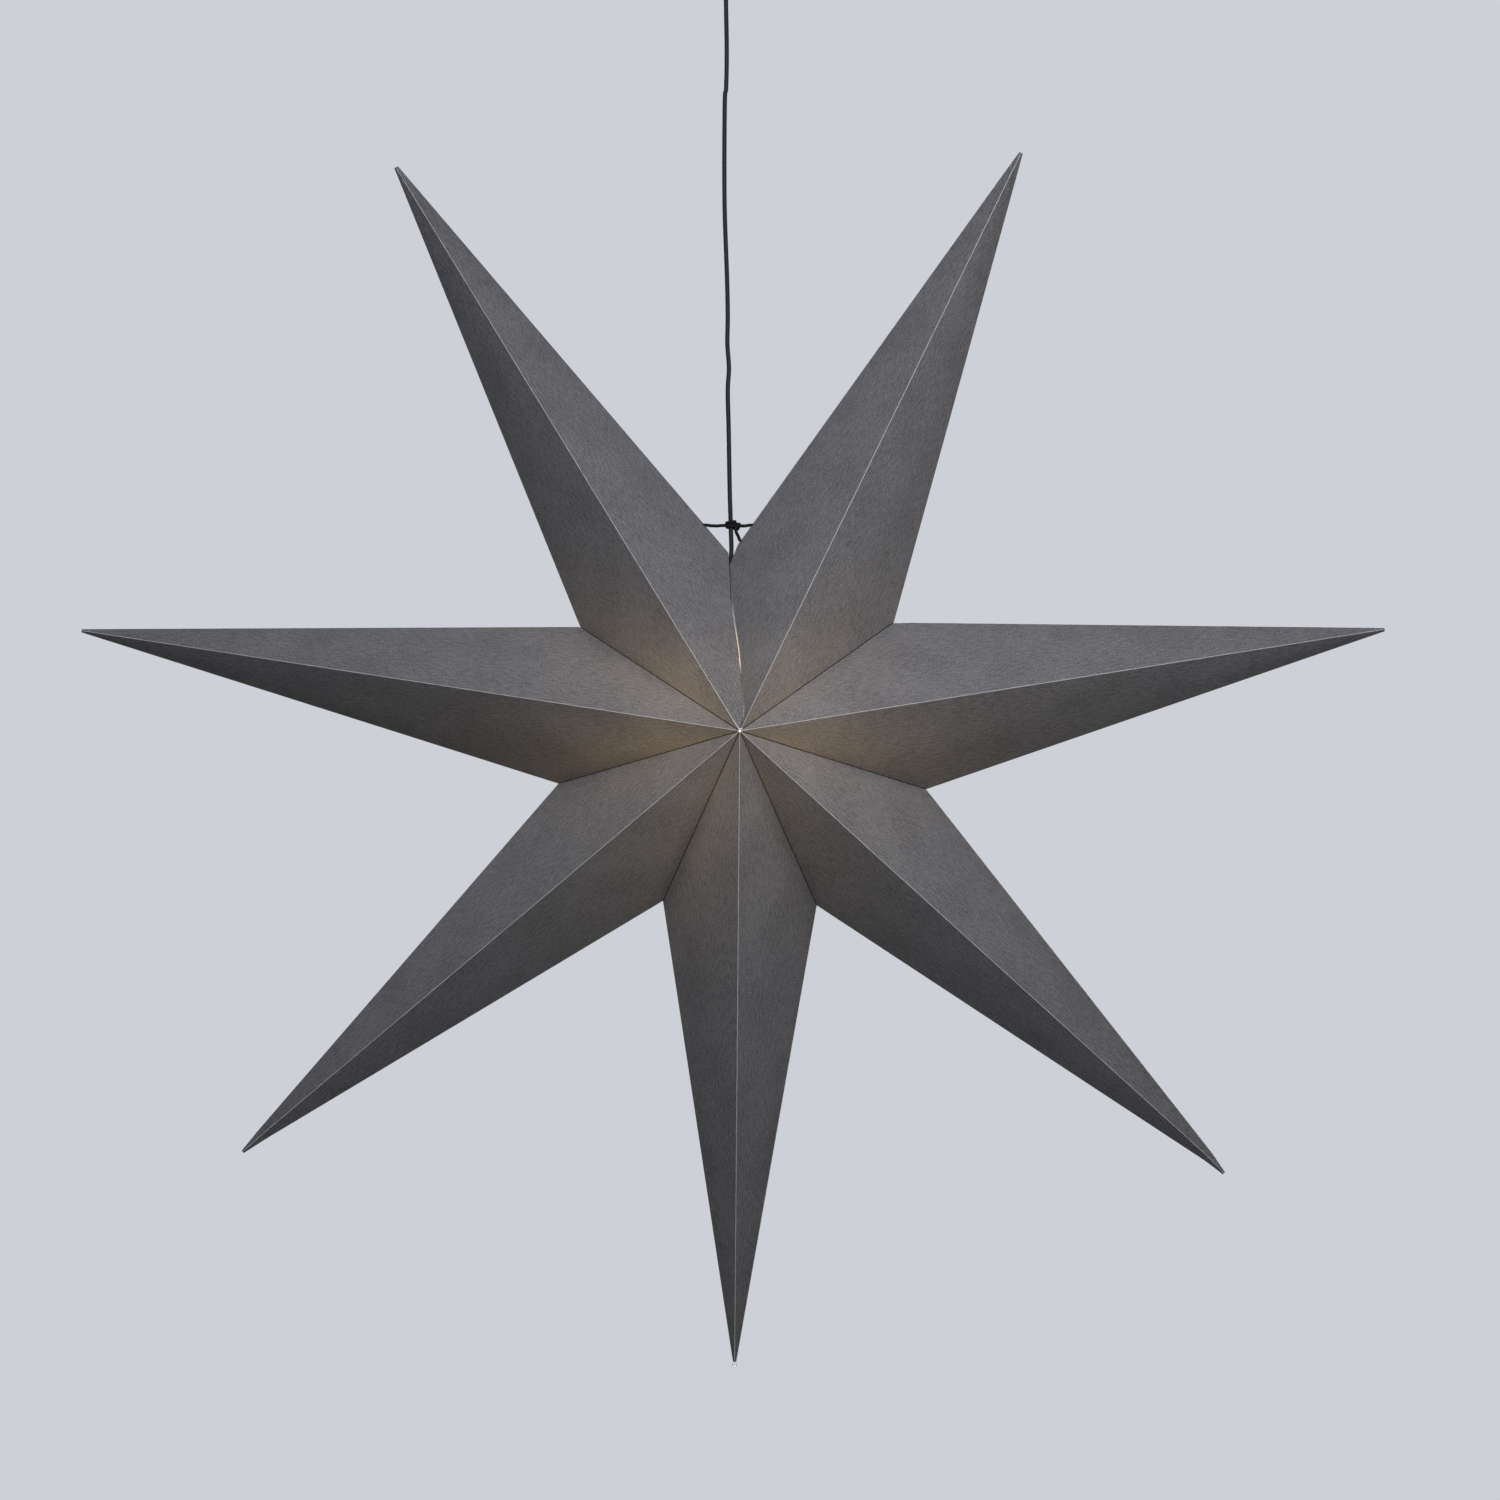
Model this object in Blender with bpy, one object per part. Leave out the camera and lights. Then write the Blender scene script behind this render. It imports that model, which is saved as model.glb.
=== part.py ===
"""Paper star lantern: seven folded paper points round an E27 pendant lamp on its cord.

Metres, +Z up. The origin is the top face of the ceiling bracket, the star's front faces -Y.
"""

import math

import bmesh
import bpy
import numpy as np
from mathutils import Matrix, Vector

# Star, seen from the front: angles run clockwise from straight up, in degrees
HUB_DROP = 0.634
HUB_OFFSET = 0.0108
TIP_RADIUS = 0.500
CREASE_RADIUS = 0.1457
HALF_DEPTH = 0.110
PAPER = 0.0004
GLUE_GAP = 0.0003
SEAM_GAP = 0.0016
HUB_HOLE = 0.0032
TIP_TRIM = 0.0080
POINT_NAMES = ("upper_right", "right", "lower_right", "bottom", "lower_left", "left", "upper_left")
TIP_ANGLES = (25.9, 81.0, 132.4, 180.5, 229.8, 278.7, 328.6)
TIP_RADIUS_SHARES = (0.988, 1.002, 1.006, 0.968, 1.000, 1.023, 1.015)
CREASE_ANGLES = (-3.7, 54.6, 107.2, 156.2, 204.5, 254.0, 303.2)
CREASE_RADIUS_SHARES = (0.915, 0.994, 1.028, 1.002, 0.981, 0.996, 1.007)
SEAM_CLOSING_RADIUS_SHARE = 0.936
CORNER_CUT_FOOT = 0.1258
CORNER_CUT_ANGLE = 21.8

# Glue flaps, folded in along each crease
FLAP_WIDTH = 0.010
FLAP_HUB_SETBACK = 0.012
FLAP_END_SETBACK = 0.020
FLAP_TAPER = 0.006
SEAM_FLAP_END_SETBACK = 0.058

# Hook and loop pads that close the top seam
PAD_LENGTH = 0.014
PAD_WIDTH = 0.007
PAD_THICKNESS = 0.00035
PAD_PLACE = 0.036

# String tied round the cord, through a hole in each upper point
TIE_HEIGHT = 0.1586
TIE_RADIUS = 0.0010
TIE_HOLE_RADIUS = 0.0014
TIE_HOLE_DEPTH = 0.016
TIE_INSIDE = 0.006
TIE_SAG = 0.0012
KNOT_OFFSET = 0.0056
KNOT_RADIUS = 0.0034
STOP_KNOT_RADIUS = 0.0024
TAIL_REACH = 0.0012
TAIL_FORWARD = 0.0020
TAIL_DROP = 0.0111

# Eyelet on the bottom tip
EYELET_RADIUS = 0.0014
EYELET_WIRE = 0.00055
EYELET_SHANK_RADIUS = 0.00035
EYELET_SHANK_LENGTH = 0.0045

# Lamp cord, from the ceiling to the lamp holder: x, z
CORD_RADIUS = 0.00175
CORD_STEP = 0.0087
CORD_BEVEL_STEPS = 2
CORD_ROUTE = (
    (0.0000, -0.0643),
    (-0.0001, -0.0722),
    (0.0005, -0.1114),
    (0.0000, -0.1406),
    (-0.0010, -0.1505),
    (-0.0012, -0.2258),
    (0.0007, -0.2846),
    (0.0013, -0.3141),
    (0.0010, -0.3360),
    (0.0022, -0.3548),
    (0.0013, -0.3725),
    (0.0020, -0.4024),
    (0.0028, -0.4485),
    (0.0035, -0.4716),
    (0.0038, -0.4823),
    (0.0041, -0.4938),
    (0.0037, -0.5050),
    (0.0035, -0.5097),
)

# Ceiling fitting
BRACKET_LENGTH = 0.096
BRACKET_WIDTH = 0.020
BRACKET_THICKNESS = 0.0020
COLLAR_RADIUS = 0.0085
COLLAR_LENGTH = 0.008
SCREW_SPACING = 0.070
SCREW_RADIUS = 0.0018
SCREW_HEAD_RADIUS = 0.0036
SCREW_HEAD_HEIGHT = 0.0024
SCREW_REACH = 0.024
CUP_RADIUS = 0.055
CUP_BASE_RADIUS = 0.046
CUP_HEIGHT = 0.040
CUP_WALL = 0.0012
CUP_ROUND = 0.008
CUP_ROUND_STEPS = 4
NIPPLE_RADIUS = 0.0050
NIPPLE_BORE = 0.0027
NIPPLE_LENGTH = 0.050
LOCK_NUT_RADIUS = 0.0090
LOCK_NUT_HEIGHT = 0.0040
GRIP_RADIUS = 0.0080
GRIP_NOSE_RADIUS = 0.0045
GRIP_TIP_RADIUS = 0.0010
GRIP_NOSE_RISE = 0.0020
GRIP_WAIST = 0.0065
GRIP_SCREW_RADIUS = 0.0014
GRIP_SCREW_LENGTH = 0.0040
TERMINAL_LENGTH = 0.020
TERMINAL_WIDTH = 0.016
TERMINAL_HEIGHT = 0.013
TERMINAL_PLACE = 0.021
TERMINAL_SCREW_RADIUS = 0.0017
TERMINAL_SCREW_HEIGHT = 0.0030

# Lamp holder: heights above the hub
LAMP_OFFSET = 0.0035
HOLDER_TOP = 0.1170
HOLDER_SHOULDER = 0.1080
HOLDER_SPLIT = 0.0920
HOLDER_FOOT = 0.0560
HOLDER_RADIUS = 0.0198
HOLDER_WALL = 0.0022
HOLDER_CROWN_RADIUS = 0.0085
HOLDER_GRIP_RADIUS = 0.0055
HOLDER_GRIP_TOP_RADIUS = 0.0032
HOLDER_GRIP_HEIGHT = 0.0067
BLOCK_TOP = 0.1000
BLOCK_FOOT = 0.0885
SHELL_WALL = 0.0005
SHELL_LENGTH = 0.0285
CONTACT_RADIUS = 0.0022
CONTACT_HEIGHT = 0.0020
WIRE_SCREW_RADIUS = 0.0019
WIRE_SCREW_HEIGHT = 0.0028
WIRE_SCREW_SPACING = 0.018

# Bulb
BULB_CAP_RADIUS = 0.0129
BULB_CAP_LENGTH = 0.0260
BULB_CAP_WALL = 0.0004
BULB_CAP_CROWN_RADIUS = 0.0080
INSULATOR_RADIUS = 0.0066
INSULATOR_HEIGHT = 0.0022
TIP_CONTACT_RADIUS = 0.0042
TIP_CONTACT_HEIGHT = 0.0010
GLASS_RADIUS = 0.0300
GLASS_NECK_RADIUS = 0.0119
GLASS_WALL = 0.0008
GLASS_LENGTH = 0.0990
GLASS_TUCK = 0.0200
GLASS_BOWL_END = 30
GLASS_BOWL_STEPS = 10
GLASS_SHOULDER_STEPS = 5
STEM_FLARE_HEIGHT = 0.0060
STEM_RADIUS = 0.0032
STEM_LENGTH = 0.0420
FILAMENT_RADIUS = 0.0004
FILAMENT_SPAN = 0.0200
FILAMENT_DROP = 0.0160

FIT_GAP = 0.0003
OVERRUN = 0.002
MERGE_DISTANCE = 1e-7
ROUND_SIDES = 32
SMALL_SIDES = 16
TINY_SIDES = 10
HEXAGON_SIDES = 6
SMOOTH_ANGLE = math.radians(35)

HUB = Vector((HUB_OFFSET, 0, -HUB_DROP))
LAMP_AXIS = Vector((LAMP_OFFSET, 0, -HUB_DROP))
MIRROR_Y = np.array((1, -1, 1))


def clear_scene():
    """Remove whatever the file holds."""
    for item in list(bpy.data.objects):
        bpy.data.objects.remove(item, do_unlink=True)


def material(name, colour, roughness, metallic=0):
    """A Principled material."""
    made = bpy.data.materials.new(name)
    made.use_nodes = True
    shader = made.node_tree.nodes["Principled BSDF"]
    shader.inputs["Base Color"].default_value = (*colour, 1)
    shader.inputs["Roughness"].default_value = roughness
    shader.inputs["Metallic"].default_value = metallic
    made.diffuse_color = (*colour, 1)
    return made


def add_object(name, mesh, look, location=(0, 0, 0)):
    """Put a mesh in the scene, smooth across its shallow edges."""
    mesh.materials.append(look)
    mesh.shade_smooth()
    mesh.set_sharp_from_angle(angle=SMOOTH_ANGLE)
    item = bpy.data.objects.new(name, mesh)
    item.location = location
    bpy.context.collection.objects.link(item)
    return item


def finish_mesh(name, shape):
    """Turn a bmesh into a mesh with its faces pointing out."""
    bmesh.ops.recalc_face_normals(shape, faces=shape.faces)
    mesh = bpy.data.meshes.new(name)
    shape.to_mesh(mesh)
    shape.free()
    return mesh


def turned_mesh(name, profile, sides=ROUND_SIDES, closed=False):
    """Spin a profile of (radius, height) points round Z; a closed profile makes a ring."""
    shape = bmesh.new()
    corners = [shape.verts.new((radius, 0, height)) for radius, height in profile]
    pairs = list(zip(corners, corners[1:]))
    if closed:
        pairs.append((corners[-1], corners[0]))
    edges = [shape.edges.new(pair) for pair in pairs]
    bmesh.ops.spin(
        shape, geom=corners + edges, cent=(0, 0, 0), axis=(0, 0, 1), angle=math.tau, steps=sides, use_merge=True
    )
    bmesh.ops.remove_doubles(shape, verts=shape.verts, dist=MERGE_DISTANCE)
    return finish_mesh(name, shape)


def turned(name, profile, look, location, sides=ROUND_SIDES, closed=False):
    """A turned piece on a vertical axis."""
    return add_object(name, turned_mesh(name, profile, sides, closed), look, location)


def box_mesh(name, size, frame=None):
    """A box round the origin, or set in a frame."""
    shape = bmesh.new()
    bmesh.ops.create_cube(shape, size=1)
    bmesh.ops.scale(shape, vec=size, verts=shape.verts)
    if frame is not None:
        bmesh.ops.transform(shape, matrix=frame, verts=shape.verts)
    return finish_mesh(name, shape)


def rod_profile(radius, top, bottom):
    """Half the outline of a solid rod."""
    return [(0, top), (radius, top), (radius, bottom), (0, bottom)]


def ring_profile(outer, inner, top, bottom):
    """Half the outline of a ring, to be closed."""
    return [(outer, top), (outer, bottom), (inner, bottom), (inner, top)]


def arc(centre, radius, start, end, steps):
    """Points on an arc, its angles counted in degrees from outwards to up."""
    points = []
    for number in range(steps + 1):
        turn = math.radians(start + (end - start) * number / steps)
        points.append((centre[0] + radius * math.cos(turn), centre[1] + radius * math.sin(turn)))
    return points


def cut(target, cutter, operation="DIFFERENCE"):
    """Cut a piece with another object, or join it on, which stays behind as a hidden guide."""
    cutter.hide_render = True
    cutter.display_type = "WIRE"
    change = target.modifiers.new(operation.lower(), "BOOLEAN")
    change.operation = operation
    change.object = cutter


def smooth_route(points, step):
    """Points at about even steps on a Catmull-Rom curve through the given ones."""
    knots = [Vector(point) for point in points]
    knots = [2 * knots[0] - knots[1]] + knots + [2 * knots[-1] - knots[-2]]
    route = []
    for before, start, end, after in zip(knots, knots[1:], knots[2:], knots[3:]):
        count = max(1, round((end - start).length / step))
        for number in range(count):
            t = number / count
            route.append(
                0.5
                * (
                    2 * start
                    + (end - before) * t
                    + (2 * before - 5 * start + 4 * end - after) * t**2
                    + (3 * start - before - 3 * end + after) * t**3
                )
            )
    route.append(knots[-2])
    return route


def tube_mesh(name, points, radius, sides=TINY_SIDES):
    """A closed round tube along a route that stays near one plane."""
    shape = bmesh.new()
    rings = []
    across = None
    for number, point in enumerate(points):
        ahead = points[min(number + 1, len(points) - 1)]
        behind = points[max(number - 1, 0)]
        along = (Vector(ahead) - Vector(behind)).normalized()
        if across is None:
            across = along.orthogonal().normalized()
        across = (across - along * across.dot(along)).normalized()
        up = along.cross(across)
        ring = []
        for side in range(sides):
            turn = math.tau * side / sides
            offset = across * math.cos(turn) + up * math.sin(turn)
            ring.append(shape.verts.new(Vector(point) + offset * radius))
        rings.append(ring)
    for first, second in zip(rings, rings[1:]):
        for side in range(sides):
            after = (side + 1) % sides
            shape.faces.new((first[side], first[after], second[after], second[side]))
    shape.faces.new(rings[0][::-1])
    shape.faces.new(rings[-1])
    return finish_mesh(name, shape)


def direction(angle):
    """A unit direction in the star's middle plane, clockwise from up."""
    turn = math.radians(angle)
    return np.array((math.sin(turn), 0, math.cos(turn)))


def plane_through(first, second, third, inside):
    """The plane through three places as (normal, distance), facing away from the inside."""
    normal = np.cross(second - first, third - first)
    normal = normal / np.linalg.norm(normal)
    if normal @ (inside - first) > 0:
        normal = -normal
    return normal, normal @ first


def sunk(plane, depth):
    """The plane moved inwards."""
    return plane[0], plane[1] - depth


def behind(plane):
    """The plane's mirror image behind the star's middle plane."""
    return plane[0] * MIRROR_Y, plane[1]


def meet(*planes):
    """The corner where three planes meet."""
    return np.linalg.solve(np.array([normal for normal, _ in planes]), np.array([reach for _, reach in planes]))


def point_layout(number):
    """The planes and crease lines of one paper point, worked out on its front half."""
    ridge = direction(TIP_ANGLES[number])
    tip_radius = TIP_RADIUS * TIP_RADIUS_SHARES[number]
    after = (number + 1) % len(POINT_NAMES)
    last = after == 0
    right_share = SEAM_CLOSING_RADIUS_SHARE if last else CREASE_RADIUS_SHARES[after]
    layout = {
        "hub_cut": (-ridge, -HUB_HOLE),
        "tip_cut": (ridge, tip_radius),
        "sides": [],
    }
    apex = ridge * (tip_radius + TIP_TRIM)
    front_hub = np.array((0, -HALF_DEPTH, 0))
    ends = (
        (CREASE_ANGLES[number], CREASE_RADIUS_SHARES[number], -1, number == 0),
        (CREASE_ANGLES[after], right_share, 1, last),
    )
    for angle, share, facing, at_seam in ends:
        valley = direction(angle) * CREASE_RADIUS * share
        panel = plane_through(front_hub, valley, apex, ridge * CREASE_RADIUS)
        outwards = direction(angle + math.degrees(math.pi / 2)) * facing
        side = (outwards, -(SEAM_GAP if at_seam else GLUE_GAP) / 2)
        inner = sunk(panel, PAPER)
        hub_in = meet(inner, side, layout["hub_cut"])
        fold_in = meet(inner, sunk(behind(panel), PAPER), side)
        along = (fold_in - hub_in) / np.linalg.norm(fold_in - hub_in)
        inwards = np.cross(outwards, along)
        if inwards @ panel[0] > 0:
            inwards = -inwards
        layout["sides"].append(
            {
                "panel": panel,
                "inner": inner,
                "side": side,
                "strip": sunk(side, PAPER),
                "hub_in": hub_in,
                "fold_in": fold_in,
                "along": along,
                "inwards": inwards,
                "end_setback": SEAM_FLAP_END_SETBACK if at_seam else FLAP_END_SETBACK,
            }
        )
    return layout


def flap_corners(part, hub_strip):
    """The four root corners and four outer corners of a glue flap."""
    start = part["hub_in"] + part["along"] * FLAP_HUB_SETBACK
    end = part["fold_in"] - part["along"] * part["end_setback"]
    corners = {"start": start, "end": end}
    for name in ("start", "end"):
        reach = (corners[name] - hub_strip) @ part["along"]
        corners[name + "_strip"] = hub_strip + part["along"] * reach
    taper = part["along"] * FLAP_TAPER
    drop = part["inwards"] * FLAP_WIDTH
    for name, shift in (("start", taper), ("end", -taper)):
        corners[name + "_low"] = corners[name] + drop + shift
        corners[name + "_strip_low"] = corners[name + "_strip"] + drop + shift
    return corners


def point_mesh(name, layout):
    """One sheet of paper folded to four panels, with its glue flaps turned in."""
    shape = bmesh.new()
    hub_cut = layout["hub_cut"]
    tip_cut = layout["tip_cut"]
    left, right = layout["sides"]
    folds = []
    for part in layout["sides"]:
        panel = part["panel"]
        inner = part["inner"]
        folds.append(
            {
                "fold_out": shape.verts.new(meet(panel, behind(panel), part["side"])),
                "fold_in": shape.verts.new(part["fold_in"]),
                "fold_strip": shape.verts.new(meet(inner, behind(inner), part["strip"])),
                "tip_out": shape.verts.new(meet(panel, behind(panel), tip_cut)),
                "tip_in": shape.verts.new(meet(inner, behind(inner), tip_cut)),
            }
        )
    for mirror in (np.ones(3), MIRROR_Y):

        def place(position, mirror=mirror):
            return shape.verts.new(position * mirror)

        hub_out = place(meet(left["panel"], right["panel"], hub_cut))
        hub_in = place(meet(left["inner"], right["inner"], hub_cut))
        ridge_out = place(meet(left["panel"], right["panel"], tip_cut))
        ridge_in = place(meet(left["inner"], right["inner"], tip_cut))
        rims = []
        for part, fold in zip(layout["sides"], folds):
            hub_strip = meet(part["inner"], part["strip"], hub_cut)
            spots = {key: place(value) for key, value in flap_corners(part, hub_strip).items()}
            corner_out = place(meet(part["panel"], part["side"], hub_cut))
            corner_in = place(part["hub_in"])
            corner_strip = place(hub_strip)
            rims.append((corner_out, corner_in, corner_strip))
            faces = (
                (hub_out, ridge_out, fold["tip_out"], fold["fold_out"], corner_out),
                (
                    hub_in,
                    corner_strip,
                    spots["start_strip"],
                    spots["end_strip"],
                    fold["fold_strip"],
                    fold["tip_in"],
                    ridge_in,
                ),
                (corner_in, spots["start"], spots["start_strip"], corner_strip),
                (spots["end"], fold["fold_in"], fold["fold_strip"], spots["end_strip"]),
                (spots["start"], spots["start_low"], spots["end_low"], spots["end"]),
                (spots["start_strip"], spots["end_strip"], spots["end_strip_low"], spots["start_strip_low"]),
                (spots["start"], spots["start_strip"], spots["start_strip_low"], spots["start_low"]),
                (spots["end"], spots["end_low"], spots["end_strip_low"], spots["end_strip"]),
                (spots["start_low"], spots["start_strip_low"], spots["end_strip_low"], spots["end_low"]),
                (corner_out, corner_in, spots["start"], spots["end"], fold["fold_in"], fold["fold_out"]),
                (ridge_out, ridge_in, fold["tip_in"], fold["tip_out"]),
            )
            for face in faces:
                shape.faces.new(face)
        (left_out, left_in, left_strip), (right_out, right_in, right_strip) = rims
        shape.faces.new((left_out, hub_out, right_out, right_in, right_strip, hub_in, left_strip, left_in))
    return finish_mesh(name, shape)


def trim_cord_corner(mesh):
    """Cut the seam corner of the first point back, so that the cord can pass."""
    shape = bmesh.new()
    shape.from_mesh(mesh)
    foot = direction(CREASE_ANGLES[0]) * CORNER_CUT_FOOT
    cut_side = -direction(CORNER_CUT_ANGLE + math.degrees(math.pi / 2))
    bmesh.ops.bisect_plane(
        shape,
        geom=shape.verts[:] + shape.edges[:] + shape.faces[:],
        plane_co=foot,
        plane_no=cut_side,
        clear_outer=True,
        dist=MERGE_DISTANCE,
    )
    rim = [edge for edge in shape.edges if edge.is_boundary]
    bmesh.ops.contextual_create(shape, geom=rim)
    bmesh.ops.recalc_face_normals(shape, faces=shape.faces)
    shape.to_mesh(mesh)
    shape.free()


def fold_at(layout, side_number, height):
    """The place on a point's outer side fold at a height above the hub."""
    panel = layout["sides"][side_number]["panel"]
    level = (np.array((0, 0, 1)), height)
    return Vector(meet(panel, behind(panel), level))


def tie_hole(target, place):
    """Punch the string's hole across a side fold."""
    cutter = add_object(
        target.name + "_hole_guide",
        turned_mesh("hole_guide", rod_profile(TIE_HOLE_RADIUS, TIE_HOLE_DEPTH, -TIE_HOLE_DEPTH), SMALL_SIDES),
        target.data.materials[0],
        HUB + place,
    )
    cutter.rotation_euler = (0, math.pi / 2, 0)
    cut(target, cutter)


def build_points(looks):
    """The seven paper points, with the cord's corner and the string's holes."""
    layouts = [point_layout(number) for number in range(len(POINT_NAMES))]
    points = []
    for name, layout in zip(POINT_NAMES, layouts):
        mesh = point_mesh("star_point_" + name, layout)
        if layout is layouts[0]:
            trim_cord_corner(mesh)
        points.append(add_object("star_point_" + name, mesh, looks["paper"], HUB))
    for item, layout, side_number in ((points[0], layouts[0], 0), (points[-1], layouts[-1], 1)):
        tie_hole(item, fold_at(layout, side_number, TIE_HEIGHT))
    return layouts


def build_pads(layouts, looks):
    """A hook pad and a loop pad between the seam flaps, in front and behind."""
    for kind, part in (("hook", layouts[-1]["sides"][1]), ("loop", layouts[0]["sides"][0])):
        outwards = part["side"][0]
        place = part["hub_in"] + part["along"] * PAD_PLACE + part["inwards"] * FLAP_WIDTH / 2
        place = place + outwards * (FIT_GAP + PAD_THICKNESS / 2)
        frame = np.array((part["along"], part["inwards"], outwards))
        for where, mirror in (("front", np.ones(3)), ("back", MIRROR_Y)):
            pad = Matrix((frame * mirror).T).to_4x4()
            pad.translation = place * mirror
            mesh = box_mesh("pad", (PAD_LENGTH, PAD_WIDTH, PAD_THICKNESS), pad)
            add_object(f"closure_{kind}_pad_{where}", mesh, looks["pad"], HUB)


def cord_places():
    """The cord's route as points in space."""
    return smooth_route([(across, 0, height) for across, height in CORD_ROUTE], CORD_STEP)


def cord_at(height):
    """Where the cord passes a height."""
    places = cord_places()
    for above, below in zip(places, places[1:]):
        if above.z >= height >= below.z:
            return above.lerp(below, (above.z - height) / (above.z - below.z))
    return places[-1]


def build_cord(looks):
    """The free stretch of the lamp cord."""
    curve = bpy.data.curves.new("lamp_cord", "CURVE")
    curve.dimensions = "3D"
    curve.bevel_depth = CORD_RADIUS
    curve.bevel_resolution = CORD_BEVEL_STEPS
    curve.use_fill_caps = True
    places = cord_places()
    spline = curve.splines.new("POLY")
    spline.points.add(len(places) - 1)
    for spot, place in zip(spline.points, places):
        spot.co = (*place, 1)
    curve.materials.append(looks["cord"])
    item = bpy.data.objects.new("lamp_cord", curve)
    bpy.context.collection.objects.link(item)
    return item


def ball_mesh(name, radius, sides=SMALL_SIDES):
    """A round knot."""
    shape = bmesh.new()
    bmesh.ops.create_uvsphere(shape, u_segments=sides, v_segments=sides // 2, radius=radius)
    return finish_mesh(name, shape)


def build_tie(layouts, looks):
    """The string round the cord, its arms through the two upper points and its loose end."""
    height = HUB.z + TIE_HEIGHT
    middle = cord_at(height)
    middle.z = height
    reach = CORD_RADIUS + FIT_GAP + TIE_RADIUS
    loop = arc((reach, 0), TIE_RADIUS, 0, 360 - 360 / TINY_SIDES, TINY_SIDES - 1)
    tie = turned("tie_string", loop, looks["cord"], middle, SMALL_SIDES, closed=True)
    guides = []
    for layout, side_number, facing in ((layouts[-1], 1, -1), (layouts[0], 0, 1)):
        hole = HUB + fold_at(layout, side_number, TIE_HEIGHT)
        start = middle + Vector((facing * reach, 0, 0))
        halfway = (start + hole) / 2 - Vector((0, 0, TIE_SAG))
        end = hole + Vector((facing * TIE_INSIDE, 0, 0))
        route = smooth_route([start, halfway, hole, end], 2 * TIE_RADIUS)
        guides.append(add_object("tie_arm_guide", tube_mesh("arm", route, TIE_RADIUS), looks["cord"]))
        guides.append(add_object("tie_stop_guide", ball_mesh("stop", STOP_KNOT_RADIUS), looks["cord"], end))
    knot = middle + Vector((KNOT_OFFSET, 0, 0))
    guides.append(add_object("tie_knot_guide", ball_mesh("knot", KNOT_RADIUS), looks["cord"], knot))
    low = knot + Vector((TAIL_REACH, -TAIL_FORWARD, -TAIL_DROP))
    bend = (knot + low) / 2 - Vector((TAIL_REACH, 0, 0))
    tail = smooth_route([knot, bend, low], 2 * TIE_RADIUS)
    guides.append(add_object("tie_tail_guide", tube_mesh("tail", tail, TIE_RADIUS), looks["cord"]))
    for guide in guides:
        cut(tie, guide, "UNION")


def build_eyelet(looks):
    """The wire eye in the bottom tip."""
    number = POINT_NAMES.index("bottom")
    downwards = Vector(direction(TIP_ANGLES[number]))
    rim = HUB + downwards * TIP_RADIUS * TIP_RADIUS_SHARES[number]
    outer = EYELET_RADIUS + EYELET_WIRE
    centre = rim + downwards * (outer + FIT_GAP)
    loop = arc((EYELET_RADIUS, 0), EYELET_WIRE, 0, 360 - 360 / TINY_SIDES, TINY_SIDES - 1)
    eye = turned("bottom_tip_eyelet", loop, looks["steel"], centre, SMALL_SIDES, closed=True)
    eye.rotation_euler = (math.pi / 2, 0, 0)
    foot = centre - downwards * EYELET_RADIUS
    route = [foot, foot - downwards * EYELET_SHANK_LENGTH]
    shank = add_object("eyelet_shank_guide", tube_mesh("shank", route, EYELET_SHANK_RADIUS), looks["steel"])
    cut(eye, shank, "UNION")


def build_bracket(looks):
    """The strap on the ceiling, its collar for the nipple and its two screws."""
    strap_foot = -BRACKET_THICKNESS
    frame = Matrix.Translation((0, 0, strap_foot / 2))
    mesh = box_mesh("ceiling_bracket", (BRACKET_LENGTH, BRACKET_WIDTH, BRACKET_THICKNESS), frame)
    bracket = add_object("ceiling_bracket", mesh, looks["steel"])
    collar_top = strap_foot + BRACKET_THICKNESS / 2
    collar = ring_profile(COLLAR_RADIUS, NIPPLE_RADIUS + FIT_GAP, strap_foot, strap_foot - COLLAR_LENGTH)
    collar = [(0, collar_top), (COLLAR_RADIUS, collar_top)] + collar[1:] + [(0, strap_foot)]
    cut(bracket, turned("collar_guide", collar, looks["steel"], (0, 0, 0)), "UNION")
    head_top = strap_foot - FIT_GAP
    head_foot = head_top - SCREW_HEAD_HEIGHT
    profile = [
        (0, SCREW_REACH),
        (SCREW_RADIUS, SCREW_REACH - 2 * SCREW_RADIUS),
        (SCREW_RADIUS, head_top),
        (SCREW_HEAD_RADIUS, head_top),
        (SCREW_HEAD_RADIUS, (head_top + head_foot) / 2),
        (SCREW_HEAD_RADIUS - SCREW_RADIUS / 2, head_foot),
        (0, head_foot),
    ]
    for side, facing in (("left", -1), ("right", 1)):
        place = (facing * SCREW_SPACING / 2, 0, 0)
        hole = rod_profile(SCREW_RADIUS + FIT_GAP, OVERRUN, strap_foot - OVERRUN)
        cut(bracket, turned("screw_hole_guide", hole, looks["steel"], place, SMALL_SIDES))
        turned("bracket_screw_" + side, profile, looks["brass"], place, SMALL_SIDES)


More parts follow.
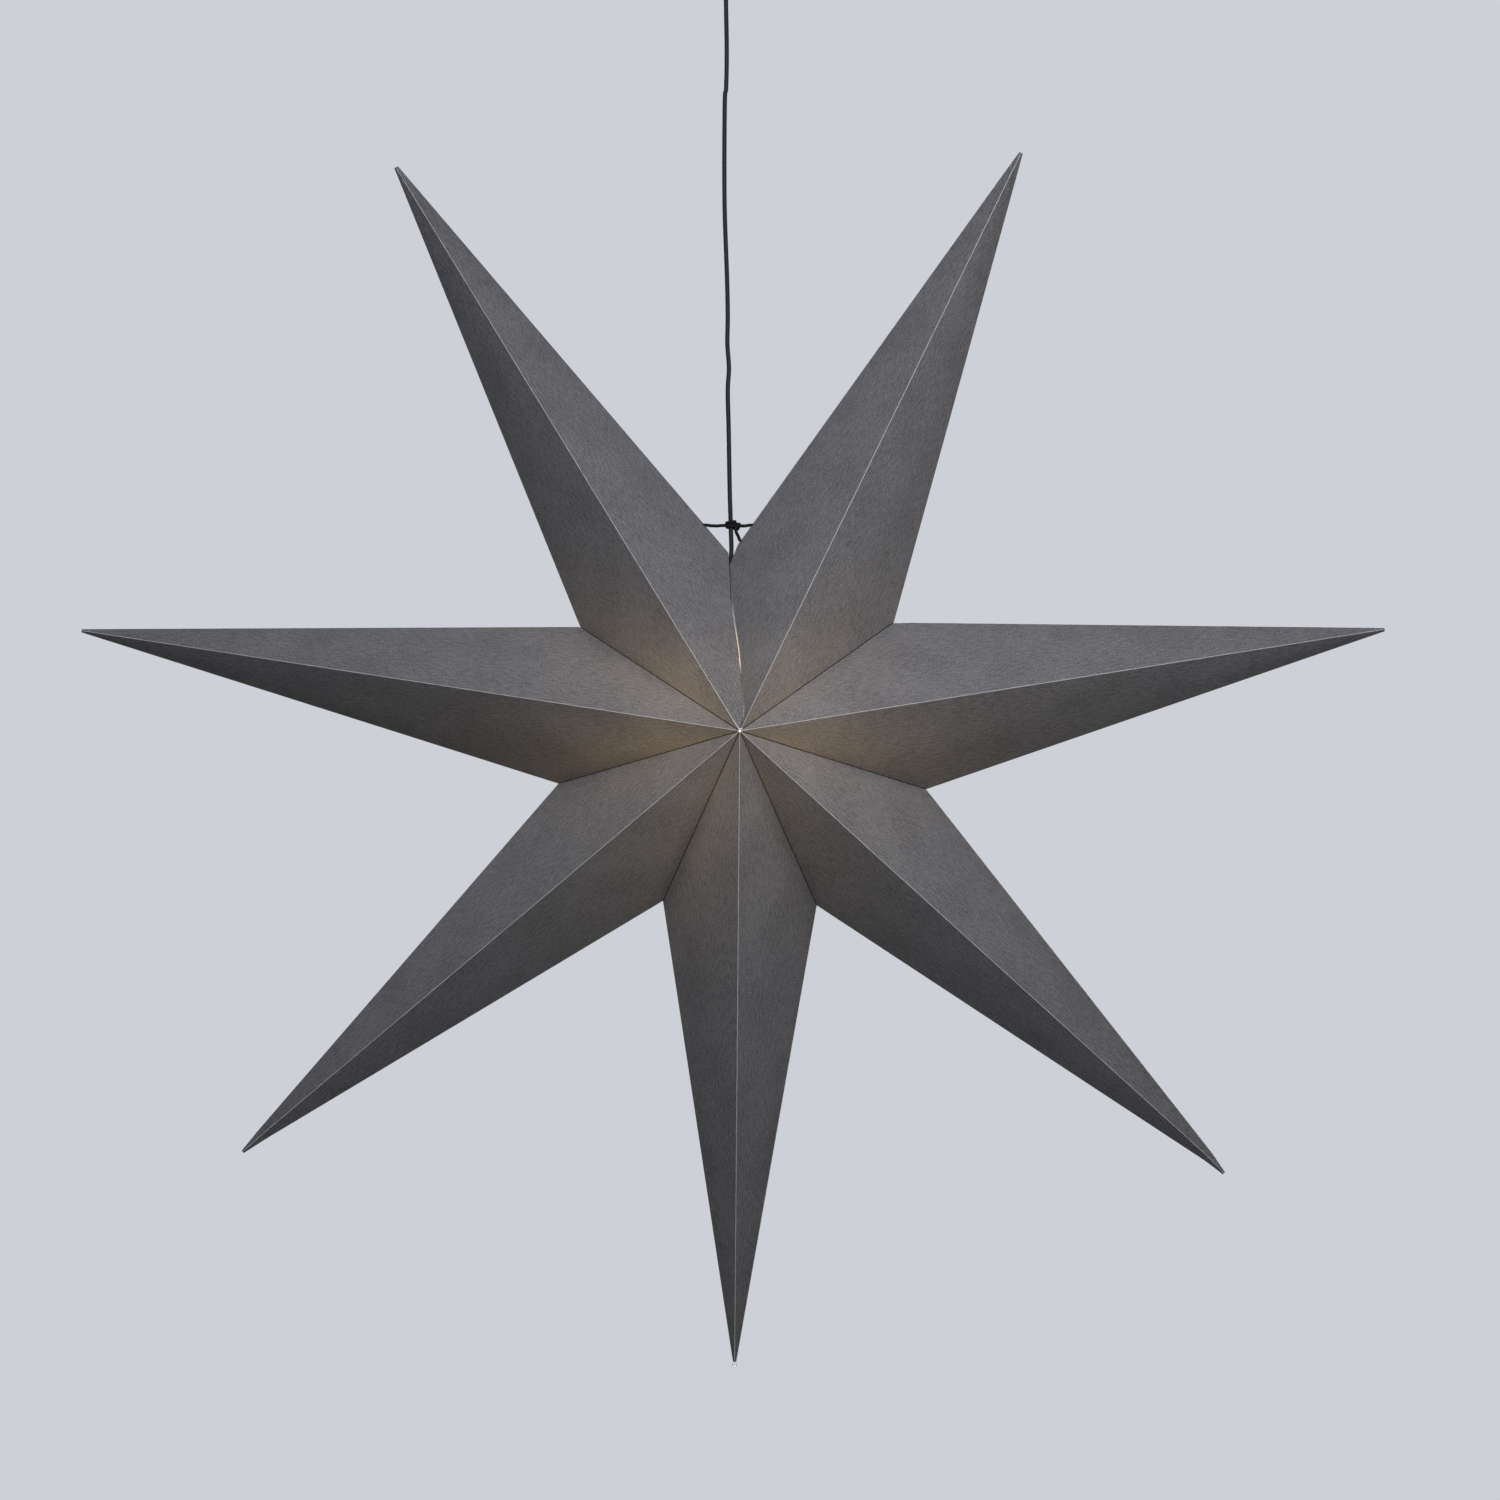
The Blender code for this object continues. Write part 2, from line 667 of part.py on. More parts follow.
def build_cup(looks):
    """The ceiling cup, its threaded nipple and the nut that holds it up."""
    round_centre = (CUP_BASE_RADIUS, CUP_ROUND - CUP_HEIGHT)
    outer = [(CUP_RADIUS, 0)] + arc(round_centre, CUP_ROUND, 0, -90, CUP_ROUND_STEPS)
    inner = arc(round_centre, CUP_ROUND - CUP_WALL, -90, 0, CUP_ROUND_STEPS) + [(CUP_RADIUS - CUP_WALL, 0)]
    hole = NIPPLE_RADIUS + FIT_GAP
    profile = outer + [(hole, -CUP_HEIGHT), (hole, CUP_WALL - CUP_HEIGHT)] + inner
    turned("ceiling_cup", profile, looks["cup"], (0, 0, 0), closed=True)
    nipple_top = -BRACKET_THICKNESS - FIT_GAP
    nipple = ring_profile(NIPPLE_RADIUS, NIPPLE_BORE, nipple_top, nipple_top - NIPPLE_LENGTH)
    turned("threaded_nipple", nipple, looks["brass"], (0, 0, 0), SMALL_SIDES, closed=True)
    nut_top = -CUP_HEIGHT - FIT_GAP
    bore = (NIPPLE_RADIUS + FIT_GAP) / math.cos(math.pi / HEXAGON_SIDES)
    nut = ring_profile(LOCK_NUT_RADIUS, bore, nut_top, nut_top - LOCK_NUT_HEIGHT)
    turned("cup_lock_nut", nut, looks["brass"], (0, 0, 0), HEXAGON_SIDES, closed=True)


def build_cord_grip(looks):
    """The grip that turns on the nipple and holds the cord's upper end."""
    top = -CUP_HEIGHT - LOCK_NUT_HEIGHT - 2 * FIT_GAP
    bore = NIPPLE_RADIUS + FIT_GAP
    floor = -BRACKET_THICKNESS - NIPPLE_LENGTH - 2 * FIT_GAP
    nose = CORD_ROUTE[0][1] + FIT_GAP
    profile = [
        (0, floor),
        (bore, floor),
        (bore, top),
        (GRIP_RADIUS, top),
        (GRIP_RADIUS, floor),
        (GRIP_WAIST, floor - (GRIP_RADIUS - GRIP_WAIST)),
        (GRIP_WAIST, nose + 2 * GRIP_NOSE_RISE),
        (GRIP_NOSE_RADIUS, nose + GRIP_NOSE_RISE),
        (GRIP_TIP_RADIUS, nose),
        (0, nose),
    ]
    grip = turned("cord_grip", profile, looks["cup"], (0, 0, 0), SMALL_SIDES * 2)
    height = (floor + nose) / 2
    depth = GRIP_SCREW_LENGTH + FIT_GAP
    hole = rod_profile(GRIP_SCREW_RADIUS + FIT_GAP, OVERRUN, -depth)
    guide = turned("grip_hole_guide", hole, looks["steel"], (0, -GRIP_WAIST, height), TINY_SIDES)
    guide.rotation_euler = (math.pi / 2, 0, 0)
    cut(grip, guide)
    screw = rod_profile(GRIP_SCREW_RADIUS, 0, -GRIP_SCREW_LENGTH)
    item = turned("cord_grip_screw", screw, looks["steel"], (0, -GRIP_WAIST, height), TINY_SIDES)
    item.rotation_euler = (math.pi / 2, 0, 0)


def build_terminals(looks):
    """The terminal block under the bracket, with its four wire screws."""
    top = -BRACKET_THICKNESS - FIT_GAP
    foot = top - TERMINAL_HEIGHT
    frame = Matrix.Translation((-TERMINAL_PLACE, 0, (top + foot) / 2))
    mesh = box_mesh("terminal_block", (TERMINAL_LENGTH, TERMINAL_WIDTH, TERMINAL_HEIGHT), frame)
    block = add_object("terminal_block", mesh, looks["plastic"])
    depth = TERMINAL_SCREW_HEIGHT - 2 * FIT_GAP
    for pole, along in (("line", -1), ("neutral", 1)):
        for end, across in (("in", -1), ("out", 1)):
            place = (
                -TERMINAL_PLACE + along * TERMINAL_LENGTH / 4,
                across * TERMINAL_WIDTH / 4,
                foot,
            )
            well = rod_profile(TERMINAL_SCREW_RADIUS + FIT_GAP, depth + FIT_GAP, -OVERRUN)
            cut(block, turned("terminal_well_guide", well, looks["steel"], place, TINY_SIDES))
            screw = rod_profile(TERMINAL_SCREW_RADIUS, depth, depth - TERMINAL_SCREW_HEIGHT)
            turned(f"terminal_screw_{pole}_{end}", screw, looks["steel"], place, TINY_SIDES)


def build_holder(looks):
    """The lamp holder: grip, cap, body, contact block, thread shell, contacts."""
    grip_foot = HOLDER_TOP + FIT_GAP
    grip = [
        (0, grip_foot + HOLDER_GRIP_HEIGHT),
        (HOLDER_GRIP_TOP_RADIUS, grip_foot + HOLDER_GRIP_HEIGHT),
        (HOLDER_GRIP_RADIUS, grip_foot + HOLDER_GRIP_HEIGHT / 2),
        (HOLDER_GRIP_RADIUS, grip_foot),
        (0, grip_foot),
    ]
    turned("holder_cord_grip", grip, looks["plastic"], LAMP_AXIS, SMALL_SIDES)
    inner_radius = HOLDER_RADIUS - HOLDER_WALL
    cap = [
        (HOLDER_CROWN_RADIUS, HOLDER_TOP),
        ((HOLDER_CROWN_RADIUS + 2 * HOLDER_RADIUS) / 3, (2 * HOLDER_TOP + HOLDER_SHOULDER) / 3),
        (HOLDER_RADIUS, HOLDER_SHOULDER - HOLDER_WALL),
        (HOLDER_RADIUS, HOLDER_SPLIT),
        (inner_radius, HOLDER_SPLIT),
        (inner_radius, HOLDER_SHOULDER - HOLDER_WALL),
        (HOLDER_CROWN_RADIUS, HOLDER_TOP - HOLDER_WALL),
        (CORD_RADIUS + FIT_GAP, HOLDER_TOP - HOLDER_WALL),
        (CORD_RADIUS + FIT_GAP, HOLDER_TOP),
    ]
    turned("holder_cap", cap, looks["plastic"], LAMP_AXIS, closed=True)
    body = ring_profile(HOLDER_RADIUS, inner_radius, HOLDER_SPLIT - FIT_GAP, HOLDER_FOOT)
    turned("holder_body", body, looks["plastic"], LAMP_AXIS, closed=True)
    block = rod_profile(inner_radius - FIT_GAP, BLOCK_TOP, BLOCK_FOOT)
    turned("holder_contact_block", block, looks["ceramic"], LAMP_AXIS)
    shell_top = BLOCK_FOOT - FIT_GAP
    shell_inner = BULB_CAP_RADIUS + FIT_GAP
    shell = ring_profile(shell_inner + SHELL_WALL, shell_inner, shell_top, shell_top - SHELL_LENGTH)
    turned("holder_thread_shell", shell, looks["brass"], LAMP_AXIS, closed=True)
    contact = rod_profile(CONTACT_RADIUS, shell_top, shell_top - CONTACT_HEIGHT)
    turned("holder_centre_contact", contact, looks["brass"], LAMP_AXIS, SMALL_SIDES)
    head = BLOCK_TOP + FIT_GAP
    screw = rod_profile(WIRE_SCREW_RADIUS, head + WIRE_SCREW_HEIGHT, head)
    for side, facing in (("left", -1), ("right", 1)):
        place = LAMP_AXIS + Vector((facing * WIRE_SCREW_SPACING / 2, 0, 0))
        turned("holder_wire_screw_" + side, screw, looks["brass"], place, SMALL_SIDES)


def glass_outline(top, inset):
    """Half the bulb's outline from its foot to its neck, moved in by the inset."""
    radius = GLASS_RADIUS - inset
    neck = GLASS_NECK_RADIUS - inset
    centre = (0, top - GLASS_LENGTH + GLASS_RADIUS)
    bowl = arc(centre, radius, -90, GLASS_BOWL_END, GLASS_BOWL_STEPS)
    bowl[0] = (0, bowl[0][1])
    start = Vector(bowl[-1])
    end = Vector((neck, top - GLASS_TUCK))
    pull = (end - start).length / 2
    turn = math.radians(GLASS_BOWL_END)
    first = start + Vector((-math.sin(turn), math.cos(turn))) * pull
    second = end - Vector((0, pull))
    shoulder = []
    for number in range(1, GLASS_SHOULDER_STEPS + 1):
        t = number / GLASS_SHOULDER_STEPS
        spot = start * (1 - t) ** 3 + 3 * first * t * (1 - t) ** 2 + 3 * second * t**2 * (1 - t) + end * t**3
        shoulder.append(tuple(spot))
    return bowl + shoulder + [(neck, top)]


def build_bulb(looks):
    """The screw-in bulb: contact, insulator, cap, glass, stem and filament."""
    contact_top = BLOCK_FOOT - CONTACT_HEIGHT - 2 * FIT_GAP
    contact = rod_profile(TIP_CONTACT_RADIUS, contact_top, contact_top - TIP_CONTACT_HEIGHT)
    turned("bulb_tip_contact", contact, looks["steel"], LAMP_AXIS, SMALL_SIDES)
    insulator_top = contact_top - TIP_CONTACT_HEIGHT - FIT_GAP
    cap_top = insulator_top - INSULATOR_HEIGHT - FIT_GAP
    insulator = [
        (0, insulator_top),
        (TIP_CONTACT_RADIUS, insulator_top),
        (INSULATOR_RADIUS, cap_top + FIT_GAP),
        (0, cap_top + FIT_GAP),
    ]
    turned("bulb_insulator", insulator, looks["plastic"], LAMP_AXIS, SMALL_SIDES)
    slope = BULB_CAP_RADIUS - BULB_CAP_CROWN_RADIUS
    cap_foot = cap_top - BULB_CAP_LENGTH
    inner = BULB_CAP_RADIUS - BULB_CAP_WALL
    cap = [
        (0, cap_top),
        (BULB_CAP_CROWN_RADIUS, cap_top),
        (BULB_CAP_RADIUS, cap_top - slope),
        (BULB_CAP_RADIUS, cap_foot),
        (inner, cap_foot),
        (inner, cap_top - slope - BULB_CAP_WALL / 2),
        (BULB_CAP_CROWN_RADIUS - BULB_CAP_WALL / 2, cap_top - BULB_CAP_WALL),
        (0, cap_top - BULB_CAP_WALL),
    ]
    turned("bulb_screw_cap", cap, looks["steel"], LAMP_AXIS)
    glass_top = cap_foot + GLASS_TUCK
    outer = glass_outline(glass_top, 0)
    inside = glass_outline(glass_top, GLASS_WALL)
    turned("bulb_glass", outer + inside[::-1], looks["glass"], LAMP_AXIS)
    stem_top = glass_top - FIT_GAP
    stem_foot = stem_top - STEM_LENGTH
    stem = [
        (0, stem_top),
        (GLASS_NECK_RADIUS - GLASS_WALL - FIT_GAP, stem_top),
        (GLASS_NECK_RADIUS - GLASS_WALL - FIT_GAP, stem_top - GLASS_WALL),
        (STEM_RADIUS, stem_top - STEM_FLARE_HEIGHT),
        (STEM_RADIUS, stem_foot),
        (0, stem_foot),
    ]
    turned("bulb_stem", stem, looks["glass"], LAMP_AXIS, SMALL_SIDES)
    half = FILAMENT_SPAN / 2
    start = stem_foot - FIT_GAP - FILAMENT_RADIUS
    knee = start - FILAMENT_DROP
    route = [
        (-STEM_RADIUS / 2, 0, start),
        (-half, 0, knee + FILAMENT_DROP / 4),
        (-half / 2, 0, knee),
        (half / 2, 0, knee),
        (half, 0, knee + FILAMENT_DROP / 4),
        (STEM_RADIUS / 2, 0, start),
    ]
    mesh = tube_mesh("filament", smooth_route(route, 4 * FILAMENT_RADIUS), FILAMENT_RADIUS, HEXAGON_SIDES)
    add_object("bulb_filament", mesh, looks["filament"], LAMP_AXIS)


def hang(item, parent):
    """Parent an item, and leave it where it stands."""
    bpy.context.view_layer.update()
    item.parent = parent
    item.matrix_parent_inverse = parent.matrix_world.inverted()


def joint_empty(name, place, parent=None):
    """An empty on a joint's axis."""
    item = bpy.data.objects.new(name, None)
    item.location = place
    bpy.context.collection.objects.link(item)
    if parent is not None:
        hang(item, parent)
    return item


def carry(parent, starts):
    """Hang the pieces and guides whose names start so on an empty."""
    for item in list(bpy.data.objects):
        if item.parent is None and item.name.startswith(starts):
            hang(item, parent)


def main():
    """Build the lantern."""
    clear_scene()
    looks = {
        "paper": material("dark_paper", (0.09, 0.09, 0.095), 0.95),
        "pad": material("closure_pad", (0.02, 0.02, 0.02), 0.95),
        "cord": material("black_cord", (0.01, 0.01, 0.011), 0.55),
        "cup": material("black_painted_steel", (0.02, 0.02, 0.021), 0.5),
        "plastic": material("black_plastic", (0.025, 0.025, 0.025), 0.45),
        "ceramic": material("contact_ceramic", (0.8, 0.78, 0.74), 0.4),
        "steel": material("bright_steel", (0.7, 0.7, 0.7), 0.3, 1),
        "brass": material("brass", (0.75, 0.58, 0.3), 0.35, 1),
        "glass": material("bulb_glass", (0.95, 0.93, 0.88), 0.1),
        "filament": material("filament", (1.0, 0.75, 0.4), 0.4),
    }
    build_bracket(looks)
    build_cup(looks)
    build_terminals(looks)
    build_cord_grip(looks)
    build_cord(looks)
    build_holder(looks)
    build_bulb(looks)
    layouts = build_points(looks)
    build_pads(layouts, looks)
    build_tie(layouts, looks)
    build_eyelet(looks)
    nose = Vector((0, 0, CORD_ROUTE[0][1] + FIT_GAP))
    grip_axis = joint_empty("grip_turn_axis", nose)
    carry(grip_axis, ("cord_grip", "grip_hole"))
    swing_axis = joint_empty("pendant_swing_axis", nose, grip_axis)
    carry(swing_axis, ("lamp_cord", "holder_"))
    bulb_axis = joint_empty("bulb_turn_axis", LAMP_AXIS, swing_axis)
    carry(bulb_axis, ("bulb_",))
    star_axis = joint_empty("star_lift_axis", HUB, swing_axis)
    carry(star_axis, ("star_", "closure_", "tie_", "bottom_tip", "eyelet_"))


main()
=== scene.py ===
import math

import bmesh
import bpy
import numpy as np
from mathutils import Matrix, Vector


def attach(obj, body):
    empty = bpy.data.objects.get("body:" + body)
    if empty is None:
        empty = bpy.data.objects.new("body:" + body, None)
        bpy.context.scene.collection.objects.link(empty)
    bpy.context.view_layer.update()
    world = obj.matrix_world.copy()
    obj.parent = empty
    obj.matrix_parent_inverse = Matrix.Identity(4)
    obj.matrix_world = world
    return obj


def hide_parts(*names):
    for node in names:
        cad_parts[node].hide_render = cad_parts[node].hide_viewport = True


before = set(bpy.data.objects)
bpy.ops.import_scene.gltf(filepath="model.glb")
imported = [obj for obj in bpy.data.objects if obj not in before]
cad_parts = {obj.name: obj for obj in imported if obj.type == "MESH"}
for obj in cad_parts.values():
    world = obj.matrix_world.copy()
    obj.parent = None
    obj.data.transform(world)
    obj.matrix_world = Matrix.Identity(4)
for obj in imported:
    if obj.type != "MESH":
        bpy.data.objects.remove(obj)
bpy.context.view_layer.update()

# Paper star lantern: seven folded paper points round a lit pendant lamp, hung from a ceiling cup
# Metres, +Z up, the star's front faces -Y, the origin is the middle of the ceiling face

scene = bpy.context.scene
scene.view_settings.view_transform = "Standard"

# camera: level with the star's middle, straight at its front
cameraPlan = {"place": (0.0184, -3.5, -0.6482), "fieldOfView": 18.69, "sensor": 36}
camera = bpy.data.objects.new("camera", bpy.data.cameras.new("camera"))
camera.location = cameraPlan["place"]
camera.rotation_euler = (math.radians(90), 0, 0)
camera.data.sensor_width = cameraPlan["sensor"]
camera.data.lens = cameraPlan["sensor"] / 2 / math.tan(math.radians(cameraPlan["fieldOfView"] / 2))
scene.collection.objects.link(camera)
scene.camera = camera


# colour and node helpers
def hexColor(code):
    # sRGB to linear light: x/12.92 below 0.04045, ((x + 0.055)/1.055)^2.4 above it
    parts = np.array([int(code[i:i + 2], 16) for i in (1, 3, 5)]) / 255
    linear = np.where(parts <= 0.04045, parts / 12.92, ((parts + 0.055) / 1.055) ** 2.4)
    return (*linear.tolist(), 1.0)


def feed(tree, node, inputs):
    # each input takes a plain value, or a link from another node's output
    for name, value in inputs.items():
        if isinstance(value, bpy.types.NodeSocket):
            tree.links.new(value, node.inputs[name])
        else:
            node.inputs[name].default_value = value


def addNode(tree, kind, inputs=None, out=0, **settings):
    # a new node with its settings and its inputs, known by the output that is used
    made = tree.nodes.new("ShaderNode" + kind)
    for name, value in settings.items():
        setattr(made, name, value)
    feed(tree, made, inputs or {})
    return made.outputs[out]


def newMaterial(name):
    # a material with its node tree and its Principled shader
    made = bpy.data.materials.new(name)
    made.use_nodes = True
    tree = made.node_tree
    return made, tree, tree.nodes["Principled BSDF"]


# mesh helpers: every shape is a set of grids, one row and one column parameter each
def buildPiece(name, grids, materials, body, node, sharpAngle=35):
    # a grid has points (rows, columns, 3), and may have look, its material's number, sheet (rows, columns, 2)
    # and values {attribute: (rows, columns)}, set by face corner so that merged points keep each side's own
    points, faces, looks, sheets, start = [], [], [], [], 0
    values = {key: [] for grid in grids for key in grid.get("values", {})}
    for grid in grids:
        rows, columns = grid["points"].shape[:2]
        index = start + np.arange(rows * columns).reshape(rows, columns)
        quads = np.stack((index[:-1, :-1], index[:-1, 1:], index[1:, 1:], index[1:, :-1]), -1)
        points.append(grid["points"].reshape(-1, 3))
        faces.append(quads.reshape(-1, 4))
        looks.append(np.full((rows - 1) * (columns - 1), grid.get("look", 0)))
        sheets.append(grid.get("sheet", np.zeros((rows, columns, 2))).reshape(-1, 2))
        for key, column in values.items():
            value = grid.get("values", {}).get(key, 0.0)
            column.append(np.broadcast_to(value, (rows, columns)).reshape(-1))
        start += rows * columns
    points, faces, looks, sheets = (np.concatenate(part) for part in (points, faces, looks, sheets))
    corners = faces.reshape(-1)
    mesh = bpy.data.meshes.new(name)
    mesh.from_pydata(points.tolist(), [], faces.tolist())
    mesh.polygons.foreach_set("material_index", looks.astype(np.int32))
    if "sheet" in grids[0]:
        layer = mesh.uv_layers.new(name="sheet")
        layer.data.foreach_set("uv", sheets[corners].astype(np.float32).reshape(-1))
    for key, column in values.items():
        layer = mesh.attributes.new(key, "FLOAT", "CORNER")
        layer.data.foreach_set("value", np.concatenate(column)[corners].astype(np.float32))
    shape = bmesh.new()
    shape.from_mesh(mesh)
    bmesh.ops.remove_doubles(shape, verts=shape.verts, dist=2e-6)
    bmesh.ops.dissolve_degenerate(shape, edges=shape.edges, dist=1e-7)
    bmesh.ops.recalc_face_normals(shape, faces=shape.faces)
    shape.to_mesh(mesh)
    shape.free()
    for material in materials:
        mesh.materials.append(material)
    mesh.shade_smooth()
    mesh.set_sharp_from_angle(angle=math.radians(sharpAngle))
    piece = bpy.data.objects.new(name, mesh)
    scene.collection.objects.link(piece)
    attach(piece, body)
    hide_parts(node)
    return piece


def lengthAlong(path):
    # the distance from a path's start to each of its points
    return np.concatenate(([0], np.cumsum(np.linalg.norm(np.diff(path, axis=0), axis=1))))


def unit(vector):
    # each vector divided by its own length
    return vector / np.linalg.norm(vector, axis=-1, keepdims=True)


def window(value, start, end, rise, fall):
    # 1 between start and end, 0 outside them, with a straight rise and fall just inside
    return np.clip((value - start) / rise, 0, 1) * np.clip((end - value) / fall, 0, 1)


def smoothRoute(points, step):
    # Catmull-Rom from b to c: 0.5(2b + (c - a)t + (2a - 5b + 4c - d)t^2 + (3b - a - 3c + d)t^3)
    p = np.asarray(points, float)
    p = np.vstack((2 * p[0] - p[1], p, 2 * p[-1] - p[-2]))
    route = []
    for a, b, c, d in zip(p, p[1:], p[2:], p[3:]):
        t = np.arange(max(1, round(np.linalg.norm(c - b) / step)))[:, None]
        t = t / len(t)
        square, cube = 2 * a - 5 * b + 4 * c - d, 3 * b - a - 3 * c + d
        route.append(0.5 * (2 * b + (c - a) * t + square * t**2 + cube * t**3))
    return np.vstack((*route, p[-2]))


def tubeGrid(path, radius, sides=20, across=(0, 1, 0), plies=None, closed=False):
    # a ring r(cos a U + sin a V) at each path point, with round ends; a twisted string of n plies has
    # r(1 - groove (1 - |cos(n a / 2 - pi s / pitch)|)) at the length s
    path = np.asarray(path, float)
    across = np.broadcast_to(np.asarray(across, float), path.shape)
    ahead = unit(np.roll(path, -1, 0) - np.roll(path, 1, 0) if closed else np.gradient(path, axis=0))
    if closed:
        path, ahead, across = (np.vstack((part, part[:1])) for part in (path, ahead, across))
        along, scale = lengthAlong(path), np.ones(len(path))
    else:
        along = lengthAlong(path)
        bend = np.radians((0, 22, 45, 68))   # four rings round each end
        first = path[0] - ahead[0] * radius * np.cos(bend)[:, None]
        last = path[-1] + ahead[-1] * radius * np.cos(bend[::-1])[:, None]
        scale = np.concatenate((np.sin(bend), np.ones(len(path)), np.sin(bend[::-1])))
        path = np.vstack((first, path, last))
        ahead, across, along = (np.concatenate(([part[0]] * 4, part, [part[-1]] * 4))
                                for part in (ahead, across, along))
    u = unit(across - ahead * (ahead * across).sum(1, keepdims=True))
    v = np.cross(ahead, u)
    turn = np.linspace(0, math.tau, sides + 1)
    reach = np.full((len(path), sides + 1), radius)
    if plies:
        wave = np.abs(np.cos(turn * plies["count"] / 2 - math.pi * along[:, None] / plies["pitch"]))
        reach = radius * (1 - plies["groove"] * (1 - wave))
    rings = np.cos(turn)[:, None] * u[:, None] + np.sin(turn)[:, None] * v[:, None]
    return {"points": path[:, None] + (reach * scale[:, None])[..., None] * rings}


def roundedProfile(corners, cut, longest=0.48, count=6):
    # each corner P between A and B becomes the Bezier (1-t)^2 (P + cut a) + 2t(1-t) P + t^2 (P + cut b);
    # the ends stay, and a cut takes no more than the longest share of its edge
    p = np.asarray(corners, float)
    cuts = np.broadcast_to(np.asarray(cut, float), (len(p) - 2,))[:, None]
    ways = np.stack((p[:-2] - p[1:-1], p[2:] - p[1:-1]))
    cuts = np.minimum(cuts, longest * np.linalg.norm(ways, axis=-1, keepdims=True))
    starts, ends = p[1:-1] + unit(ways) * cuts
    t = np.linspace(0, 1, count)[None, :, None]
    bends = (1 - t) ** 2 * starts[:, None] + 2 * t * (1 - t) * p[1:-1, None] + t**2 * ends[:, None]
    return np.vstack((p[:1], bends.reshape(-1, 2), p[-1:]))


def turnedGrid(profile, centre=(0, 0, 0), sides=96, shape=None):
    # (radius, height) carried round the vertical: x = r cos a, y = r sin a; shape(r, z, a) may trim r
    turn = np.linspace(0, math.tau, sides + 1)
    radius, height = (np.repeat(np.asarray(profile, float)[:, [i]], sides + 1, 1) for i in (0, 1))
    if shape is not None:
        radius = shape(radius, height, np.broadcast_to(turn, radius.shape))
    return {"points": np.stack((radius * np.cos(turn), radius * np.sin(turn), height), -1) + np.array(centre)}


# dyed pulp paper, matte and soft as felt
paperLook = {
    # the crease colour is painted shade in the valleys between the points
    "dark": "#515153", "light": "#777779", "crease": "#1f1e1e", "foldLine": "#cfcfcd", "coreAndLight": "#dddddb",
    "glow": "#ffdca6", "glowStrength": 0.0755, "bump": 0.22, "bumpDepth": 0.0002,
    "shader": {"Roughness": 0.93, "Specular IOR Level": 0.08, "Sheen Weight": 0.03, "Sheen Roughness": 0.5},
    # patterns: length and width in metres, turn in degrees, detail, roughness, weight in the grain
    "patterns": {"fibres": (0.007, 0.0016, 38, 3.0, 0.6, 1.0),
                 "flecks": (0.0011, 0.0011, 0, 2.0, 0.5, 1.5),
                 "clouds": (0.045, 0.045, 0, 2.0, 0.5, 0.35)},
    # how a grain or a distance in metres is read: from, to, the two values there, and the curve between them
    "tone": (1.15, 1.70, 0, 1, "LINEAR"), "thinness": (1.075, 1.775, 0.7, 1.3, "LINEAR"),
    "patches": (0.3, 0.6, 0.6, 1.0, "LINEAR"), "worn": (0.00048, 0.00018, 0, 1, "SMOOTHSTEP"),
    # shut: painted shade along the creases; next, the pale core line, with painted highlights and leaking
    # light
    "shut": (0.0009, 0.0001, 0, 0.93, "SMOOTHSTEP"), "coreAndPaintedLight": (0.00052, 0.00028, 0, 1, "LINEAR"),
}


def paperMaterial(look):
    # short fibres lie mostly one way and mottle it, the dye cracks along folds and shows the pale core, and a
    # lamp behind it glows warm through the thin places; the creases get painted shade, and the pale core
    # colour also paints highlights on some folds and the lamp's light leaking at the open seam
    made, tree, shader = newMaterial("dyed_grey_fibre_paper")
    flat = addNode(tree, "UVMap", uv_map="sheet")
    noises, grain = {}, 0.0
    for name, (length, width, turn, detail, roughness, weight) in look["patterns"].items():
        place = addNode(tree, "Mapping", {"Vector": flat, "Rotation": (0, 0, math.radians(turn)),
                                          "Scale": (1 / length, 1 / width, 1)})
        noises[name] = addNode(tree, "TexNoise", {"Vector": place, "Scale": 1.0, "Detail": detail,
                                                  "Roughness": roughness})
        grain = addNode(tree, "Math", {0: noises[name], 1: weight, 2: grain}, operation="MULTIPLY_ADD")
    gaps = {name: addNode(tree, "Attribute", out="Fac", attribute_name=name)
            for name in ("ridgeGap", "creaseGap", "coreAndHighlightGap", "seamLeakAndCore", "glow")}
    shares = {"tone": grain, "thinness": grain, "patches": noises["flecks"],
              "worn": gaps["ridgeGap"], "shut": gaps["creaseGap"], "coreAndPaintedLight": gaps["coreAndHighlightGap"]}
    for name, source in shares.items():
        *ends, curve = look[name]
        ends = dict(zip(("From Min", "From Max", "To Min", "To Max"), ends))
        shares[name] = addNode(tree, "MapRange", {"Value": source, **ends}, interpolation_type=curve)
    shares["worn"] = addNode(tree, "Math", {0: shares["worn"], 1: shares["patches"]}, operation="MULTIPLY")
    # the seam's pale edge joins the core line: painted light leaking through the open seam
    coreParts = {0: shares["coreAndPaintedLight"], 1: gaps["seamLeakAndCore"]}
    shares["coreAndPaintedLight"] = addNode(tree, "Math", coreParts, operation="MAXIMUM")
    # the crease colour lays painted shade, and the pale core colour lays painted highlights and painted
    # leaking light
    base = hexColor(look["dark"])
    for share, tone in (("tone", "light"), ("shut", "crease"), ("worn", "foldLine"), ("coreAndPaintedLight", "coreAndLight")):
        layer = {0: shares[share], 6: base, 7: hexColor(look[tone])}
        base = addNode(tree, "Mix", layer, 2, data_type="RGBA")
    # the lamp's glow, dimmed where the creases are painted in shade
    power = addNode(tree, "Math", {0: 1.0, 1: shares["shut"]}, operation="SUBTRACT")
    for part in (gaps["glow"], shares["thinness"], look["glowStrength"]):
        power = addNode(tree, "Math", {0: power, 1: part}, operation="MULTIPLY")
    relief = addNode(tree, "Bump", {"Height": grain, "Strength": look["bump"], "Distance": look["bumpDepth"]})
    feed(tree, shader, {"Base Color": base, "Normal": relief, "Emission Strength": power,
                        "Emission Color": hexColor(look["glow"]), **look["shader"]})
    return made


